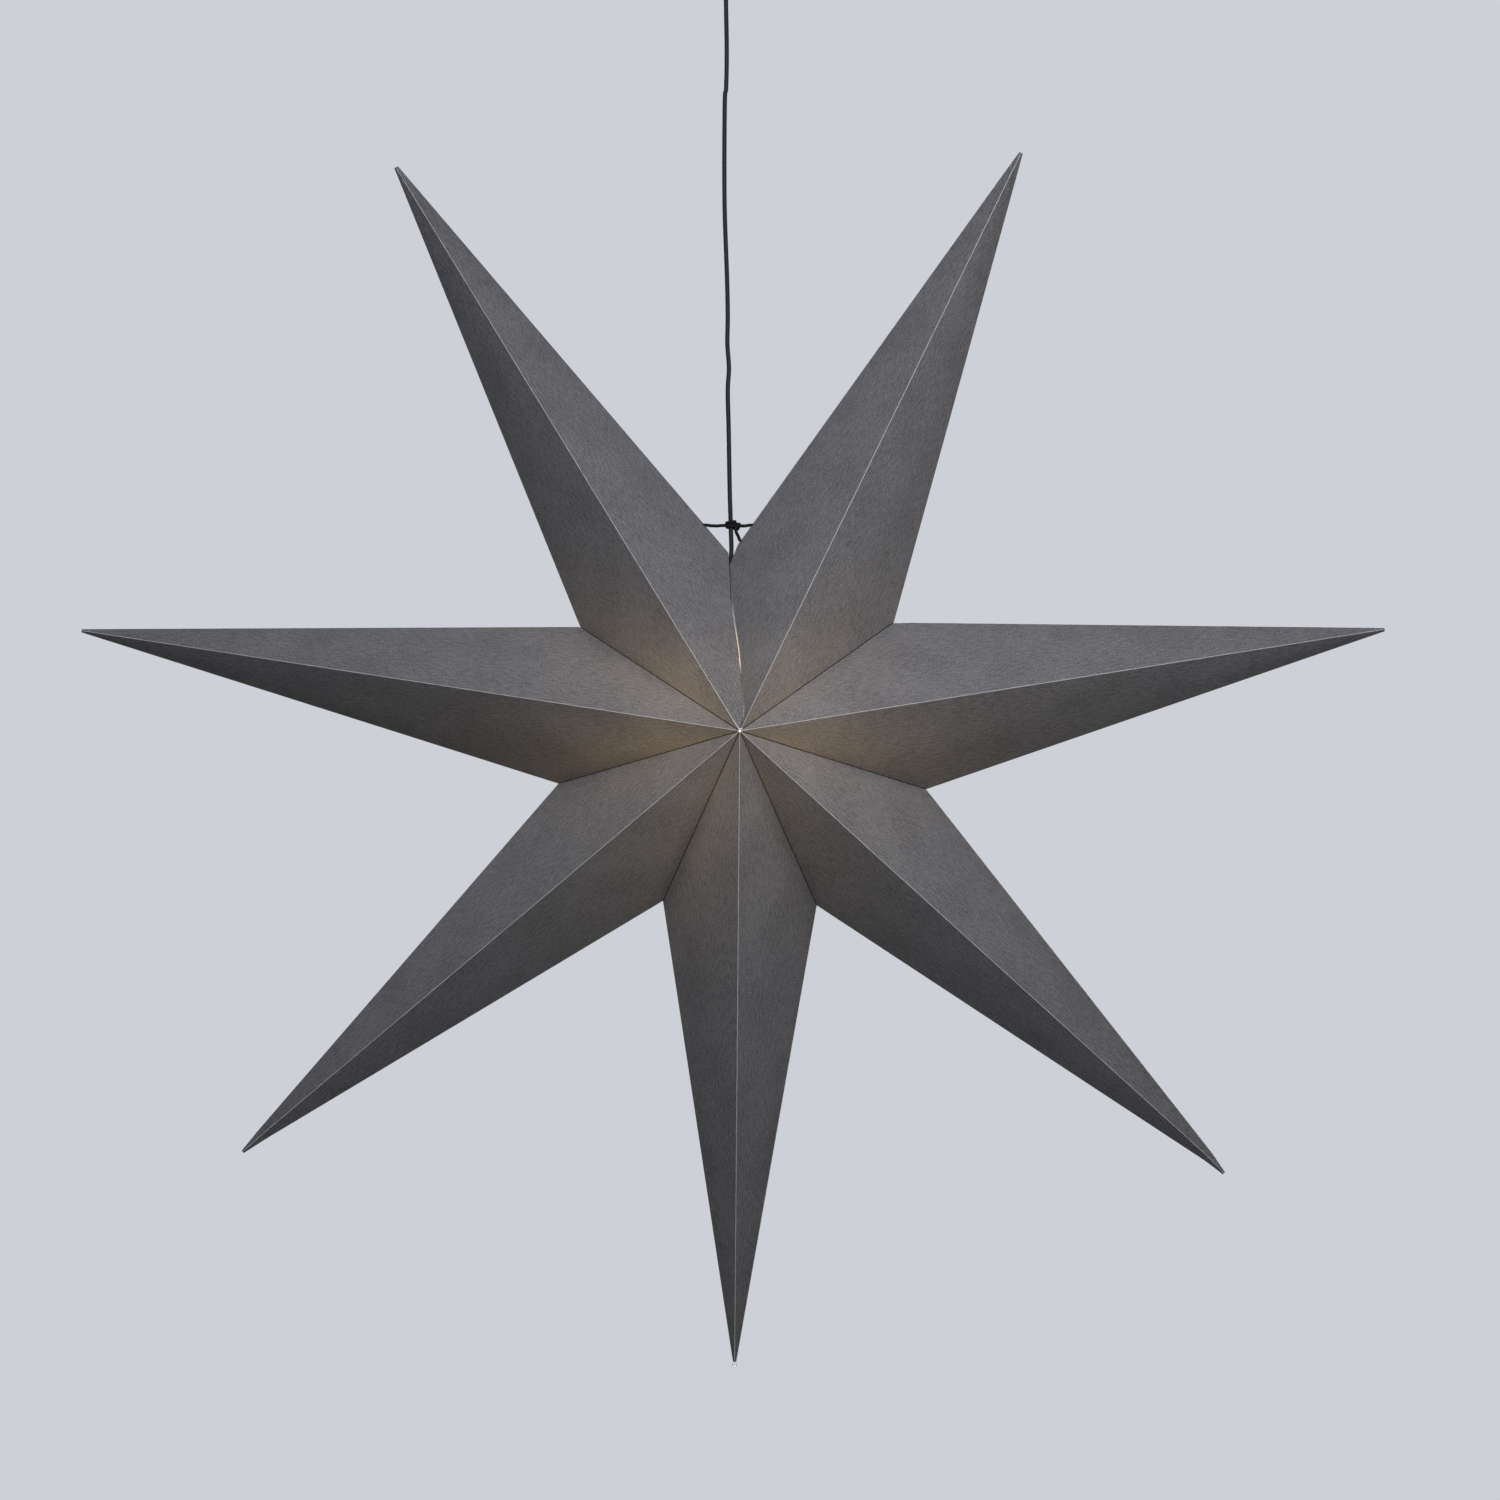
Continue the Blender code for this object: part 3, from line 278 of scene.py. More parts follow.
def plainMaterial(name, dark, light, size, roughness, sockets=None, stretch=(1, 1, 1), bump=0.1, depth=0.0001,
                  spread=0.08):
    # two tones in a grain of one size in metres, which also moves the roughness and the bump
    made, tree, shader = newMaterial(name)
    scale = tuple(1 / (size * part) for part in stretch)
    place = addNode(tree, "Mapping", {"Vector": addNode(tree, "TexCoord", out="Object"), "Scale": scale})
    grain = addNode(tree, "TexNoise", {"Vector": place, "Scale": 1.0, "Detail": 4.0, "Roughness": 0.55})
    ends = {"Value": grain, "From Min": 0.3, "From Max": 0.7}
    tone = {0: addNode(tree, "MapRange", ends), 6: hexColor(dark), 7: hexColor(light)}
    color = addNode(tree, "Mix", tone, 2, data_type="RGBA")
    rough = addNode(tree, "MapRange", {**ends, "To Min": roughness - spread, "To Max": roughness + spread})
    relief = addNode(tree, "Bump", {"Height": grain, "Strength": bump, "Distance": depth})
    feed(tree, shader, {"Base Color": color, "Roughness": rough, "Normal": relief, **(sockets or {})})
    return made


# each material: name, dark tone, light tone, grain size in metres, roughness, then the shader's other sockets
metal = {"Metallic": 1.0}
litGlass = {"Emission Color": hexColor("#ffe6c4"), "Emission Strength": 2.2}
hotWire = {"Emission Color": hexColor("#ffc477"), "Emission Strength": 6.0}
paper = paperMaterial(paperLook)
# unglazed white pulp
insidePaper = plainMaterial("undyed_paper_inside", "#e4ddd0", "#f2ede3", 0.002, 0.9, {"Sheen Weight": 0.05})
# pale fibres where a sheet is cut
paperCore = plainMaterial("cut_paper_core", "#cfcdc8", "#e6e4df", 0.0008, 0.95)
# soft satin skin with faint lines along it
cordSheath = plainMaterial("extruded_black_cord_pvc", "#0e0e10", "#18181a", 0.003, 0.56,
                           {"Specular IOR Level": 0.2}, stretch=(1, 1, 6), bump=0.06)
# matte and fibrous
blackString = plainMaterial("waxed_black_cotton_string", "#09090a", "#17171a", 0.0005, 0.85,
                            {"Specular IOR Level": 0.15, "Sheen Weight": 0.02}, bump=0.4)
# fuzzy tape
hookNylon = plainMaterial("hook_and_loop_nylon", "#0c0c0d", "#242426", 0.0006, 0.9,
                          {"Sheen Weight": 0.3}, bump=0.8, depth=0.0003)
# fine orange peel
blackSteel = plainMaterial("black_powder_coated_steel", "#131315", "#1c1c1e", 0.0009, 0.52,
                           bump=0.35, depth=0.00006)
# spark-eroded mould grain
blackPlastic = plainMaterial("moulded_black_abs", "#121213", "#1b1b1c", 0.0012, 0.46, bump=0.15)
# slightly waxy
palePlastic = plainMaterial("moulded_pale_polyamide", "#cfccc2", "#dedbd2", 0.002, 0.42, bump=0.08)
# dull glazed ceramic
ceramic = plainMaterial("pressed_steatite", "#cfc9bc", "#e2ddd2", 0.0015, 0.4, bump=0.2)
# fine turning rings
brass = plainMaterial("turned_brass", "#a98a4c", "#c7a866", 0.0012, 0.32, metal, (6, 6, 0.3), 0.15)
# faint crystal bloom
steel = plainMaterial("zinc_plated_steel", "#8f9194", "#b4b6b9", 0.0016, 0.34, metal, bump=0.12)
# mirror-like
brightWire = plainMaterial("nickel_plated_wire", "#c4c5c8", "#e6e6e8", 0.0008, 0.16, metal,
                           bump=0.03, spread=0.05)
# etched, lit within
frostedGlass = plainMaterial("frosted_lamp_glass", "#e9e2d2", "#f5efe2", 0.004, 0.45, litGlass)
# drawn glass of the stem
clearGlass = plainMaterial("clear_lamp_glass", "#dfe3e2", "#eef1f0", 0.006, 0.08, spread=0.02)
# white-hot coil
filamentWire = plainMaterial("glowing_tungsten", "#d8b070", "#f0cf90", 0.0004, 0.4, hotWire)
print("materials done")

# lamp cord: (x, height) of its stops, from the ceiling grip down to the lamp holder
cordPlan = {
    "radius": 0.00175, "step": 0.003, "sides": 28,
    "route": ((0.0000, -0.0643), (-0.0001, -0.0722), (0.0005, -0.1114), (0.0000, -0.1406), (-0.0010, -0.1505),
              (-0.0012, -0.2258), (0.0007, -0.2846), (0.0013, -0.3141), (0.0010, -0.3360), (0.0022, -0.3548),
              (0.0013, -0.3725), (0.0020, -0.4024), (0.0028, -0.4485), (0.0035, -0.4716), (0.0038, -0.4823),
              (0.0041, -0.4938), (0.0037, -0.5050), (0.0035, -0.5097)),
}
cordPath = smoothRoute([(x, 0, z) for x, z in cordPlan["route"]], cordPlan["step"])[::-1]   # its exit first
cordTube = tubeGrid(cordPath, cordPlan["radius"], cordPlan["sides"])
lampCord = buildPiece("lamp_cord_sheath", [cordTube], [cordSheath], "pendant", "lamp_cord")

# ceiling cup, its lock nut, and the cord grip with its set screw
cup = {"radius": 0.055, "baseRadius": 0.046, "height": 0.040, "thickness": 0.0012, "shoulder": 0.008,
       "hole": 0.0053, "soft": 0.0003, "shoulderRows": 14, "sides": 128}
nut = {"apothem": 0.0078, "blank": 0.0108, "top": -0.0403, "height": 0.0040, "bore": 0.0058, "rows": 15,
       "chamferStart": 0.0001, "chamferSlope": 1.75, "sides": 144}
cordGrip = {"outline": ((0, -0.0526), (0.0053, -0.0526), (0.0053, -0.0446), (0.0080, -0.0446),
                        (0.0080, -0.0526), (0.0065, -0.0541), (0.0065, -0.0600), (0.0045, -0.0620),
                        (0.0024, -0.0640), (0, -0.0640)),
            "cuts": (0.0001, 0.0003, 0.0006, 0.0006, 0.0005, 0.0012, 0.0012, 0.0008)}
setScrew = {"radius": 0.0014, "length": 0.0040, "place": (0, -0.0065, -0.0583), "socket": 0.00072,
            "socketDepth": 0.0014, "socketChamfer": 0.0002, "socketFlare": 1.12, "crown": 0.86,
            "crownDrop": 0.00025, "endChamfer": 0.0003, "endShare": 0.8, "sides": 48}


def hexagonRadius(apothem, turn):
    # apothem / cos(a mod 60 - 30)
    return apothem / np.cos(turn % (math.pi / 3) - math.pi / 6)


def makeCup(radius, baseRadius, height, thickness, shoulder, hole, soft, shoulderRows, sides):
    # wall straight from rim to shoulder, quarter round, flat base, then back up inside; corners softened
    bend = np.radians(np.linspace(0, -90, shoulderRows))
    quarter = np.stack((np.cos(bend), np.sin(bend)), 1)
    middle = np.array((baseRadius, shoulder - height))
    rim, inside = (radius - thickness / 2, 0), thickness - height
    profile = np.vstack((rim, (radius, 0), middle + shoulder * quarter, (hole, -height), (hole, inside),
                         middle + (shoulder - thickness) * quarter[::-1], (radius - thickness, 0), rim))
    return turnedGrid(roundedProfile(profile, soft), sides=sides)


def makeNut(apothem, blank, top, height, bore, rows, chamferStart, chamferSlope, sides):
    # a round blank cut to a hexagon, never past the chamfer cone, which falls 30 degrees off each face
    foot = top - height

    def hexagon(radius, level, turn):
        edge = np.maximum(np.minimum(top - level, level - foot), 0)
        cut = np.minimum(hexagonRadius(apothem, turn), apothem - chamferStart + edge * chamferSlope)
        return np.where(radius > (bore + blank) / 2, np.minimum(radius, cut), radius)

    outer = np.stack((np.full(rows, blank), np.linspace(top, foot, rows)), 1)
    profile = np.vstack(((bore, top), outer, (bore, foot), (bore, top)))
    return turnedGrid(profile, sides=sides, shape=hexagon)


def makeSetScrew(size):
    # a short rod along Y with a crowned end and a hexagon socket sunk into it: rings of (radius, depth)
    turn = np.linspace(0, math.tau, size["sides"] + 1)
    socket, r, length = hexagonRadius(size["socket"], turn), size["radius"], size["length"]
    rings = ((0, size["socketDepth"]), (socket, size["socketDepth"]), (socket, size["socketChamfer"]),
             (socket * size["socketFlare"], 0), (r * size["crown"], 0), (r, size["crownDrop"]),
             (r, length - size["endChamfer"]), (r * size["endShare"], length), (0, length))
    radius = np.array([0 * turn + ring for ring, _ in rings])
    depth = np.array([0 * turn + depth for _, depth in rings])
    points = np.stack((radius * np.cos(turn), depth, radius * np.sin(turn)), -1)
    return {"points": points + np.array(size["place"])}


def wall(radius, start, end, step):
    # a straight stretch of wall in even rows, for a thread or flutes to shape
    count = round(abs(end - start) / step) + 2
    return np.stack((np.full(count, radius), np.linspace(start, end, count)), 1)


def thread(pitch, depth, low, high, walls=0.0, crest=1.0):
    # r - depth (1 - ((1 + cos(2 pi z / pitch - a)) / 2)^crest) from low to high, past one radius only
    def shape(radius, height, turn):
        ridge = (0.5 + 0.5 * np.cos(math.tau * height / pitch - turn)) ** crest
        return radius - depth * (1 - ridge) * window(height, low, high, pitch, pitch) * (radius > walls)

    return shape


def slottedHead(size, top, foot, centre):
    # a disc of straight lines, x = u sqrt(R^2 - y^2), with a slot along X in its top; top may lie below foot
    radius, slot, depth, chamfer = (size[key] for key in ("radius", "slot", "slotDepth", "chamfer"))
    edge, floorEdge = slot / 2, slot / 2.1   # the slot's walls lean a little
    side = -radius * np.cos(np.linspace(0, math.pi / 2, 14))
    side = side[side < -1.5 * edge]
    y = np.concatenate((side, (-edge, -floorEdge, floorEdge, edge), -side[::-1]))[:, None]
    sunkRows = np.abs(y) < (edge + floorEdge) / 2
    upwards = 1 if top > foot else -1
    level = np.where(sunkRows, top - upwards * depth, top)
    rimLevel = np.where(sunkRows, level, top - upwards * chamfer)
    chord = np.linspace(-1, 1, 15) * np.sqrt(np.maximum(radius**2 - y**2, 0))

    def plate(scale, height):
        return np.stack(np.broadcast_arrays(chord * scale, y * scale, height), -1) + np.asarray(centre, float)

    flatTop, rim, flatFoot = plate(1 - chamfer / radius, level), plate(1.0, rimLevel), plate(1.0, foot)
    walls = [np.stack((flatTop[:, end], rim[:, end], flatFoot[:, end]), 1) for end in (0, -1)]
    return [{"points": points} for points in (flatTop, flatFoot, *walls)]


gripGrid = turnedGrid(roundedProfile(cordGrip["outline"], cordGrip["cuts"]))
buildPiece("ceiling_cup_shell", [makeCup(**cup)], [blackSteel], "ceiling_fitting", "ceiling_cup")
buildPiece("hexagon_lock_nut", [makeNut(**nut)], [brass], "ceiling_fitting", "cup_lock_nut", 25)
gripPiece = buildPiece("tapered_cord_grip", [gripGrid], [blackSteel], "grip", "cord_grip")
screwPiece = buildPiece("grip_set_screw", [makeSetScrew(setScrew)], [steel], "grip", "cord_grip_screw")

# threaded tube, ceiling screws and wire screws
rod = {"radius": 0.0050, "bore": 0.0027, "top": -0.0023, "length": 0.050, "pitch": 0.001, "depth": 0.0005,
       "sides": 40, "rowsPerPitch": 7}
woodScrew = {"radius": 0.0036, "slot": 0.0008, "slotDepth": 0.0011, "chamfer": 0.0007, "spacing": 0.070,
             "headTop": -0.0023, "headFoot": -0.0047, "shank": 0.0018, "tip": 0.0240, "point": 0.0036,
             "plain": 0.0010, "pitch": 0.0018, "depth": 0.00055, "crest": 4.0, "taper": 0.8, "sides": 28,
             "rowsPerPitch": 12}
terminalScrew = {"radius": 0.0017, "slot": 0.0005, "slotDepth": 0.0009, "chamfer": 0.0002, "middle": -0.021,
                 "foot": -0.0153, "length": 0.0030, "sunk": 0.0024, "along": 0.005, "across": 0.004}
wireScrew = {"radius": 0.0019, "slot": 0.0006, "slotDepth": 0.0010, "chamfer": 0.0003, "spacing": 0.018,
             "foot": 0.1003, "length": 0.0028}

rodFoot = rod["top"] - rod["length"]
rodProfile = np.vstack((wall(rod["radius"], rod["top"], rodFoot, rod["pitch"] / rod["rowsPerPitch"]),
                        (rod["bore"], rodFoot), (rod["bore"], rod["top"]), (rod["radius"], rod["top"])))
rodThread = thread(rod["pitch"], rod["depth"], rodFoot - rod["pitch"], rod["top"] + rod["pitch"],
                   (rod["bore"] + rod["radius"]) / 2)
rodGrid = turnedGrid(rodProfile, sides=rod["sides"], shape=rodThread)
buildPiece("threaded_tube", [rodGrid], [brass], "ceiling_fitting", "threaded_nipple")


def screwShank(size, place):
    # a thread of sharp crests that tapers to a point over its last millimetres
    start, tip, pitch = (size["headTop"] + size["headFoot"]) / 2, size["tip"], size["pitch"]
    ridges = thread(pitch, size["depth"], size["plain"], tip + pitch, crest=size["crest"])

    def taper(radius, height, turn):
        return ridges(radius, height, turn) * np.clip((tip - height) / size["point"], 0, 1) ** size["taper"]

    profile = np.vstack(((0, start), wall(size["shank"], start, tip, pitch / size["rowsPerPitch"])))
    return turnedGrid(profile, place, size["sides"], taper)


for side, facing in (("left", -1), ("right", 1)):
    place = (facing * woodScrew["spacing"] / 2, 0, 0)
    head = slottedHead(woodScrew, woodScrew["headFoot"], woodScrew["headTop"], place)
    screw = [*head, screwShank(woodScrew, place)]
    buildPiece("slotted_wood_screw_" + side, screw, [brass], "ceiling_fitting", "bracket_screw_" + side)
for pole, along in (("line", -1), ("neutral", 1)):
    for end, across in (("in", -1), ("out", 1)):
        place = (terminalScrew["middle"] + along * terminalScrew["along"], across * terminalScrew["across"],
                 terminalScrew["foot"])
        foot = terminalScrew["sunk"]
        head = slottedHead(terminalScrew, foot - terminalScrew["length"], foot, place)
        node = f"terminal_screw_{pole}_{end}"
        buildPiece("slotted_" + node, head, [steel], "ceiling_fitting", node)

# lamp holder and bulb: heights above the hub, round the lamp's own axis
lampAxis = np.array((0.0035, 0, -0.634))
holder = {"radius": 0.0198, "inner": 0.0176, "top": 0.0917, "foot": 0.0560, "edge": 0.0003,
          "rowHeight": 0.0010, "flutes": 36, "fluteDepth": 0.0004, "fluteFade": 0.002}
rolled = {"pitch": 0.00362, "row": 0.0004}   # the lamp thread, and the height of a row of faces on it
threadShell = {"outer": 0.0137, "inner": 0.0132, "top": 0.0882, "foot": 0.0597, "depth": -0.0006}
screwCap = {"outer": 0.0129, "inner": 0.0125, "top": 0.0772, "foot": 0.0561, "depth": 0.0005,
            "wallsPast": 0.0120, "topInside": 0.0770, "endInside": ((0.0078, 0.0817), (0, 0.0817)),
            "end": ((0, 0.0821), (0.0078, 0.0821), (0.0083, 0.0819))}
glass = {"radius": 0.0300, "neck": 0.0119, "wall": 0.0008, "middle": 0.0071, "foot": 0.0561, "top": 0.0761,
         "shoulder": 30, "bowlRows": 44, "shoulderRows": 22}
filament = {"radius": 0.00028, "wire": 0.00012, "pitch": 0.0005, "stepsPerTurn": 12, "sides": 6,
            "route": ((-0.0016, 0.0331), (-0.0100, 0.0211), (-0.0050, 0.0171),
                      (0.0050, 0.0171), (0.0100, 0.0211), (0.0016, 0.0331))}


def fluted(radius, height, turn):
    # shallow grip flutes in the outer wall, r - d (1 - cos(n a)) / 2, fading out near both ends
    fade, outside = holder["fluteFade"], radius > (holder["radius"] + holder["inner"]) / 2
    wave = 0.5 - 0.5 * np.cos(holder["flutes"] * turn)
    cut = window(height, holder["foot"] + fade, holder["top"] - fade, fade, fade) * outside
    return radius - holder["fluteDepth"] * wave * cut


def glassOutline(inset):
    # half of the bulb: a round bowl up to the shoulder angle, then a cubic Bezier into the straight neck
    r, neck = glass["radius"] - inset, glass["neck"] - inset
    bend = np.radians(np.linspace(-90, glass["shoulder"], glass["bowlRows"]))
    bowl = np.stack((r * np.cos(bend), glass["middle"] + r * np.sin(bend)), 1)
    bowl[0, 0] = 0
    start, end = bowl[-1], np.array((neck, glass["foot"]))
    pull = np.linalg.norm(end - start) / 2
    first, second = start + pull * np.array((-np.sin(bend[-1]), np.cos(bend[-1]))), end - (0, pull)
    t = np.linspace(0, 1, glass["shoulderRows"])[1:, None]
    shoulder = (1 - t) ** 3 * start + 3 * t * (1 - t) ** 2 * first + 3 * t**2 * (1 - t) * second + t**3 * end
    return np.vstack((bowl, shoulder, (neck, glass["top"])))


def filamentCoil():
    # a helix round the wire's route: centre + r (cos w Y + sin w N), w = 2 pi length / pitch
    step = filament["pitch"] / filament["stepsPerTurn"]
    centre = smoothRoute([(x, 0, z) for x, z in filament["route"]], step)
    axis = unit(np.gradient(centre, axis=0))
    turn = (math.tau * lengthAlong(centre) / filament["pitch"])[:, None]
    helix = np.cos(turn) * (0, 1, 0) + np.sin(turn) * np.cross(axis, (0, 1, 0))
    return tubeGrid(centre + filament["radius"] * helix + lampAxis, filament["wire"], filament["sides"], axis)


radius, inner, top, foot, edge = (holder[key] for key in ("radius", "inner", "top", "foot", "edge"))
bodyRim, wallRow = ((radius + inner) / 2, top), holder["rowHeight"]
bodyOutline = np.vstack((bodyRim, (radius - edge, top), wall(radius, top - edge, foot + edge, wallRow),
                         (radius - edge, foot), (inner + edge, foot), (inner, foot + edge), (inner, top),
                         bodyRim))
pitch, row = rolled["pitch"], rolled["row"]
outer, inner, top, foot = (threadShell[key] for key in ("outer", "inner", "top", "foot"))
shellOutline = np.vstack((wall(outer, top, foot, row), wall(inner, foot, top, row), (outer, top)))
shellThread = thread(pitch, threadShell["depth"], foot, top)
outer, inner, top, foot = (screwCap[key] for key in ("outer", "inner", "top", "foot"))
capOutline = np.vstack((screwCap["end"], wall(outer, top, foot, row),
                        wall(inner, foot, screwCap["topInside"], row), screwCap["endInside"]))
capThread = thread(pitch, screwCap["depth"], foot, top, screwCap["wallsPast"])
glassWalls = np.vstack((glassOutline(0), glassOutline(glass["wall"])[::-1]))
# each line: the piece, its node, body and finish, its outline of (radius, height), or that outline's corners
# with how much each is rounded, its sides, and what shapes its wall
lampPieces = (
    ("moulded_cord_boot", "holder_cord_grip", "pendant", blackPlastic,
     (((0, 0.1240), (0.0032, 0.1240), (0.0055, 0.1206), (0.0055, 0.1173), (0, 0.1173)),
      (0.0005, 0.0012, 0.0003)), 48),
    ("moulded_holder_cap", "holder_cap", "pendant", blackPlastic,
     (((0.0053, 0.1170), (0.0085, 0.1170), (0.0160, 0.1140), (0.0198, 0.1058), (0.0198, 0.0920),
       (0.0176, 0.0920), (0.0176, 0.1058), (0.0085, 0.1148), (0.00205, 0.1148), (0.00205, 0.1170),
       (0.0053, 0.1170)), (0.002, 0.003, 0.003, 0.0004, 0.0003, 0.003, 0.002, 0.0002, 0.0002)), 96),
    ("fluted_holder_body", "holder_body", "pendant", blackPlastic, bodyOutline, holder["flutes"] * 6, fluted),
    ("pressed_contact_block", "holder_contact_block", "pendant", ceramic,
     (((0, 0.1000), (0.0173, 0.1000), (0.0173, 0.0885), (0, 0.0885)), 0.0008), 72),
    ("rolled_thread_shell", "holder_thread_shell", "pendant", brass, shellOutline, 72, shellThread),
    ("sprung_centre_contact", "holder_centre_contact", "pendant", brass,
     (((0, 0.0882), (0.0022, 0.0882), (0.0022, 0.0862), (0, 0.0862)), 0.0004), 32),
    ("soldered_tip_contact", "bulb_tip_contact", "bulb", steel,
     (((0, 0.0859), (0.0042, 0.0859), (0.0042, 0.0849), (0, 0.0849)), 0.0005), 40),
    ("glass_insulator", "bulb_insulator", "bulb", blackPlastic,
     (((0, 0.0846), (0.0042, 0.0846), (0.0066, 0.0824), (0, 0.0824)), 0.0004), 48),
    ("rolled_screw_cap", "bulb_screw_cap", "bulb", steel, capOutline, 72, capThread),
    ("blown_glass_bulb", "bulb_glass", "bulb", frostedGlass, glassWalls, 96),
    ("flared_glass_stem", "bulb_stem", "bulb", clearGlass,
     (((0, 0.0758), (0.0108, 0.0758), (0.0108, 0.0750), (0.0032, 0.0698), (0.0032, 0.0338), (0, 0.0338)),
      (0.0003, 0.0003, 0.004, 0.0012)), 48),
)
for name, node, body, finish, outline, sides, *shaping in lampPieces:
    if isinstance(outline, tuple):
        outline = roundedProfile(*outline)
    buildPiece(name, [turnedGrid(outline, lampAxis, sides, *shaping)], [finish], body, node)
for side, facing in (("left", -1), ("right", 1)):
    place = lampAxis + (facing * wireScrew["spacing"] / 2, 0, 0)
    head = slottedHead(wireScrew, wireScrew["foot"] + wireScrew["length"], wireScrew["foot"], place)
    buildPiece("slotted_wire_screw_" + side, head, [brass], "pendant", "holder_wire_screw_" + side)
buildPiece("coiled_filament", [filamentCoil()], [filamentWire], "bulb", "bulb_filament")
print("ceiling fitting and lamp done")

# paper points: the same fold lines as the CAD sheets
star = {
    "hub": (0.0108, 0.0, -0.634), "tipRadius": 0.500, "creaseRadius": 0.1457, "halfDepth": 0.110,
    "paper": 0.0004, "glueGap": 0.00001, "seamGap": 0.0016, "hubHole": 0.0008, "tipTrim": 0.0080,
    "names": ("upper_right", "right", "lower_right", "bottom", "lower_left", "left", "upper_left"),
    "tipAngles": (25.9, 81.0, 132.4, 180.5, 229.8, 278.7, 328.6),   # clockwise from up, in degrees
    "tipShares": (0.988, 1.002, 1.006, 0.968, 1.000, 1.023, 1.015),
    "creaseAngles": (-3.7, 54.6, 107.2, 156.2, 204.5, 254.0, 303.2),
    "creaseShares": (0.915, 0.994, 1.028, 1.002, 0.981, 0.996, 1.007),
    "closingShare": 0.936, "cutFoot": 0.1258, "cutAngle": 21.8, "cutRows": 8,   # the corner cut for the cord
    "creaseRows": 44, "freeRows": 60, "columns": 18,
    "bow": 0.020, "wave": 0.006, "waveCount": 2.2, "swellStart": 6,   # how proud, as shares of the width
    "tipKinks": {"lower_right": (-0.0012, 0.016), "lower_left": (0.0006, 0.021)},   # sideways shift, length
}
flapPlan = {"width": 0.010, "columns": 6, "hubSetback": 0.003, "endSetback": 0.020, "seamEndSetback": 0.058,
            "taper": 0.006, "lipPower": 8}
# the pale core of the sheets, partly painted light: on the counter-clockwise fold of some, with a painted
# highlight since those folds face the key light; on worn valley corners of a radius; and on stretches of the
# open seam's edge (from, to, strength), painted as the lamp's light leaking through, of which the lamp lights
# one (from, to, share) with a painted glint
paleCoreAndLight = {
    "folds": ("upper_right", "right", "lower_right", "bottom"), "lineWidth": 0.0004,
    "corners": {("right", -1): 0.0011, ("left", 1): 0.0011, ("lower_right", -1): 0.0007},
    "seam": ((0.009, 0.028, 0.45), (0.045, 0.101, 0.95)), "seamWidth": 0.0009, "seamRise": 0.004,
    "seamFall": 0.012, "glint": (0.047, 0.084, 12), "glintRise": 0.006, "glintFall": 0.020,
    # how far the painted crease shade stands off the open seam's edge, which leaves it fainter there
    "seamShadeStandOff": 0.0003,
}
# the lamp from the hub, and how much of its light each side of a point lets through, clockwise side last
lampLight = {
    "place": (-0.0073, 0, 0.007), "divisor": 98.7, "power": 0.9,
    "topShade": 0.6, "topShadeFrom": 0.45, "topShadeOver": 0.4,
    "flapShade": 0.45, "flapShadeWidth": 0.012, "flapShadeFrom": 0.03, "flapShadeOver": 0.05,
    "shares": {"upper_right": (0.7, 1.25), "right": (1.1, 1.9), "lower_right": (1.15, 0.95),
               "bottom": (0.6, 1.45), "lower_left": (0.95, 1.3), "left": (1.6, 1.4),
               "upper_left": (1.8, 0.55)},
}
seam = {   # along the open top seam: distance from the hub, sideways bow, half of the gap left open
    "reach": np.array((0, 6.5, 11, 17, 24, 31, 43, 50, 58, 66, 72, 84, 101, 126, 140)) / 1000,
    "bow": np.array((0, 2.5, 3.5, 4.1, 3.9, 3.6, 3.4, 3.15, 2.7, 2.1, 1.6, 0.4, -0.5, 0, 0)) / 1000,
    "opening": np.array((1, 1, 2, 3, 1, 1, 1, 4, 9, 10, 6, 2, 1, 1, 1)) / 100000,
    "backShare": 0.6,
}
mirrorBack = np.array((1, -1, 1))
hubPlace = np.asarray(star["hub"])
lastRow = star["creaseRows"] + star["freeRows"]


def direction(angle):
    # unit direction in the star's middle plane, clockwise from up
    turn = math.radians(angle)
    return np.array((math.sin(turn), 0, math.cos(turn)))


def turnedTo(vector, way):
    # the vector or its opposite, whichever points the given way
    return vector if vector @ way > 0 else -vector


def planeThrough(first, second, third, inside):
    # (normal, distance) of the plane through three places, facing away from the inside
    normal = turnedTo(unit(np.cross(second - first, third - first)), first - inside)
    return normal, normal @ first


def sunk(plane, depth):
    return plane[0], plane[1] - depth


def behind(plane):
    return plane[0] * mirrorBack, plane[1]


def meet(*planes):
    # the corner where three planes meet
    return np.linalg.solve(*(np.array(part) for part in zip(*planes)))


def smoothStops(x, stops, values):
    # cubic Hermite curve through (stops, values) with the slopes of their neighbours
    slopes = np.gradient(values, stops)
    i = np.clip(np.searchsorted(stops, x) - 1, 0, len(stops) - 2)
    span = stops[i + 1] - stops[i]
    t = np.clip((x - stops[i]) / span, 0, 1)
    return ((2 * t**3 - 3 * t**2 + 1) * values[i] + (t**3 - 2 * t**2 + t) * span * slopes[i]
            + (3 * t**2 - 2 * t**3) * values[i + 1] + (t**3 - t**2) * span * slopes[i + 1])


def alongStops(rows, stopRows, stopPoints):
    # points that run straight from stop to stop, one for each row
    stopPoints = np.asarray(stopPoints)
    return np.stack([np.interp(rows, stopRows, stopPoints[:, axis]) for axis in range(3)], -1)


def shiftSeam(points, weight, shut, facing):
    # the open seam leans by bow(r) and its lips close to opening(r); facing is +1 for the upper right sheet
    radius = np.hypot(points[..., 0], points[..., 2])
    side = np.where(points[..., 1] > 0, seam["backShare"], 1.0)
    lean = smoothStops(radius, seam["reach"], seam["bow"]) * side * weight
    close = (star["seamGap"] / 2 - smoothStops(radius, seam["reach"], seam["opening"])) * shut
    return points + (lean - facing * close)[..., None] * direction(star["creaseAngles"][0] + 90)


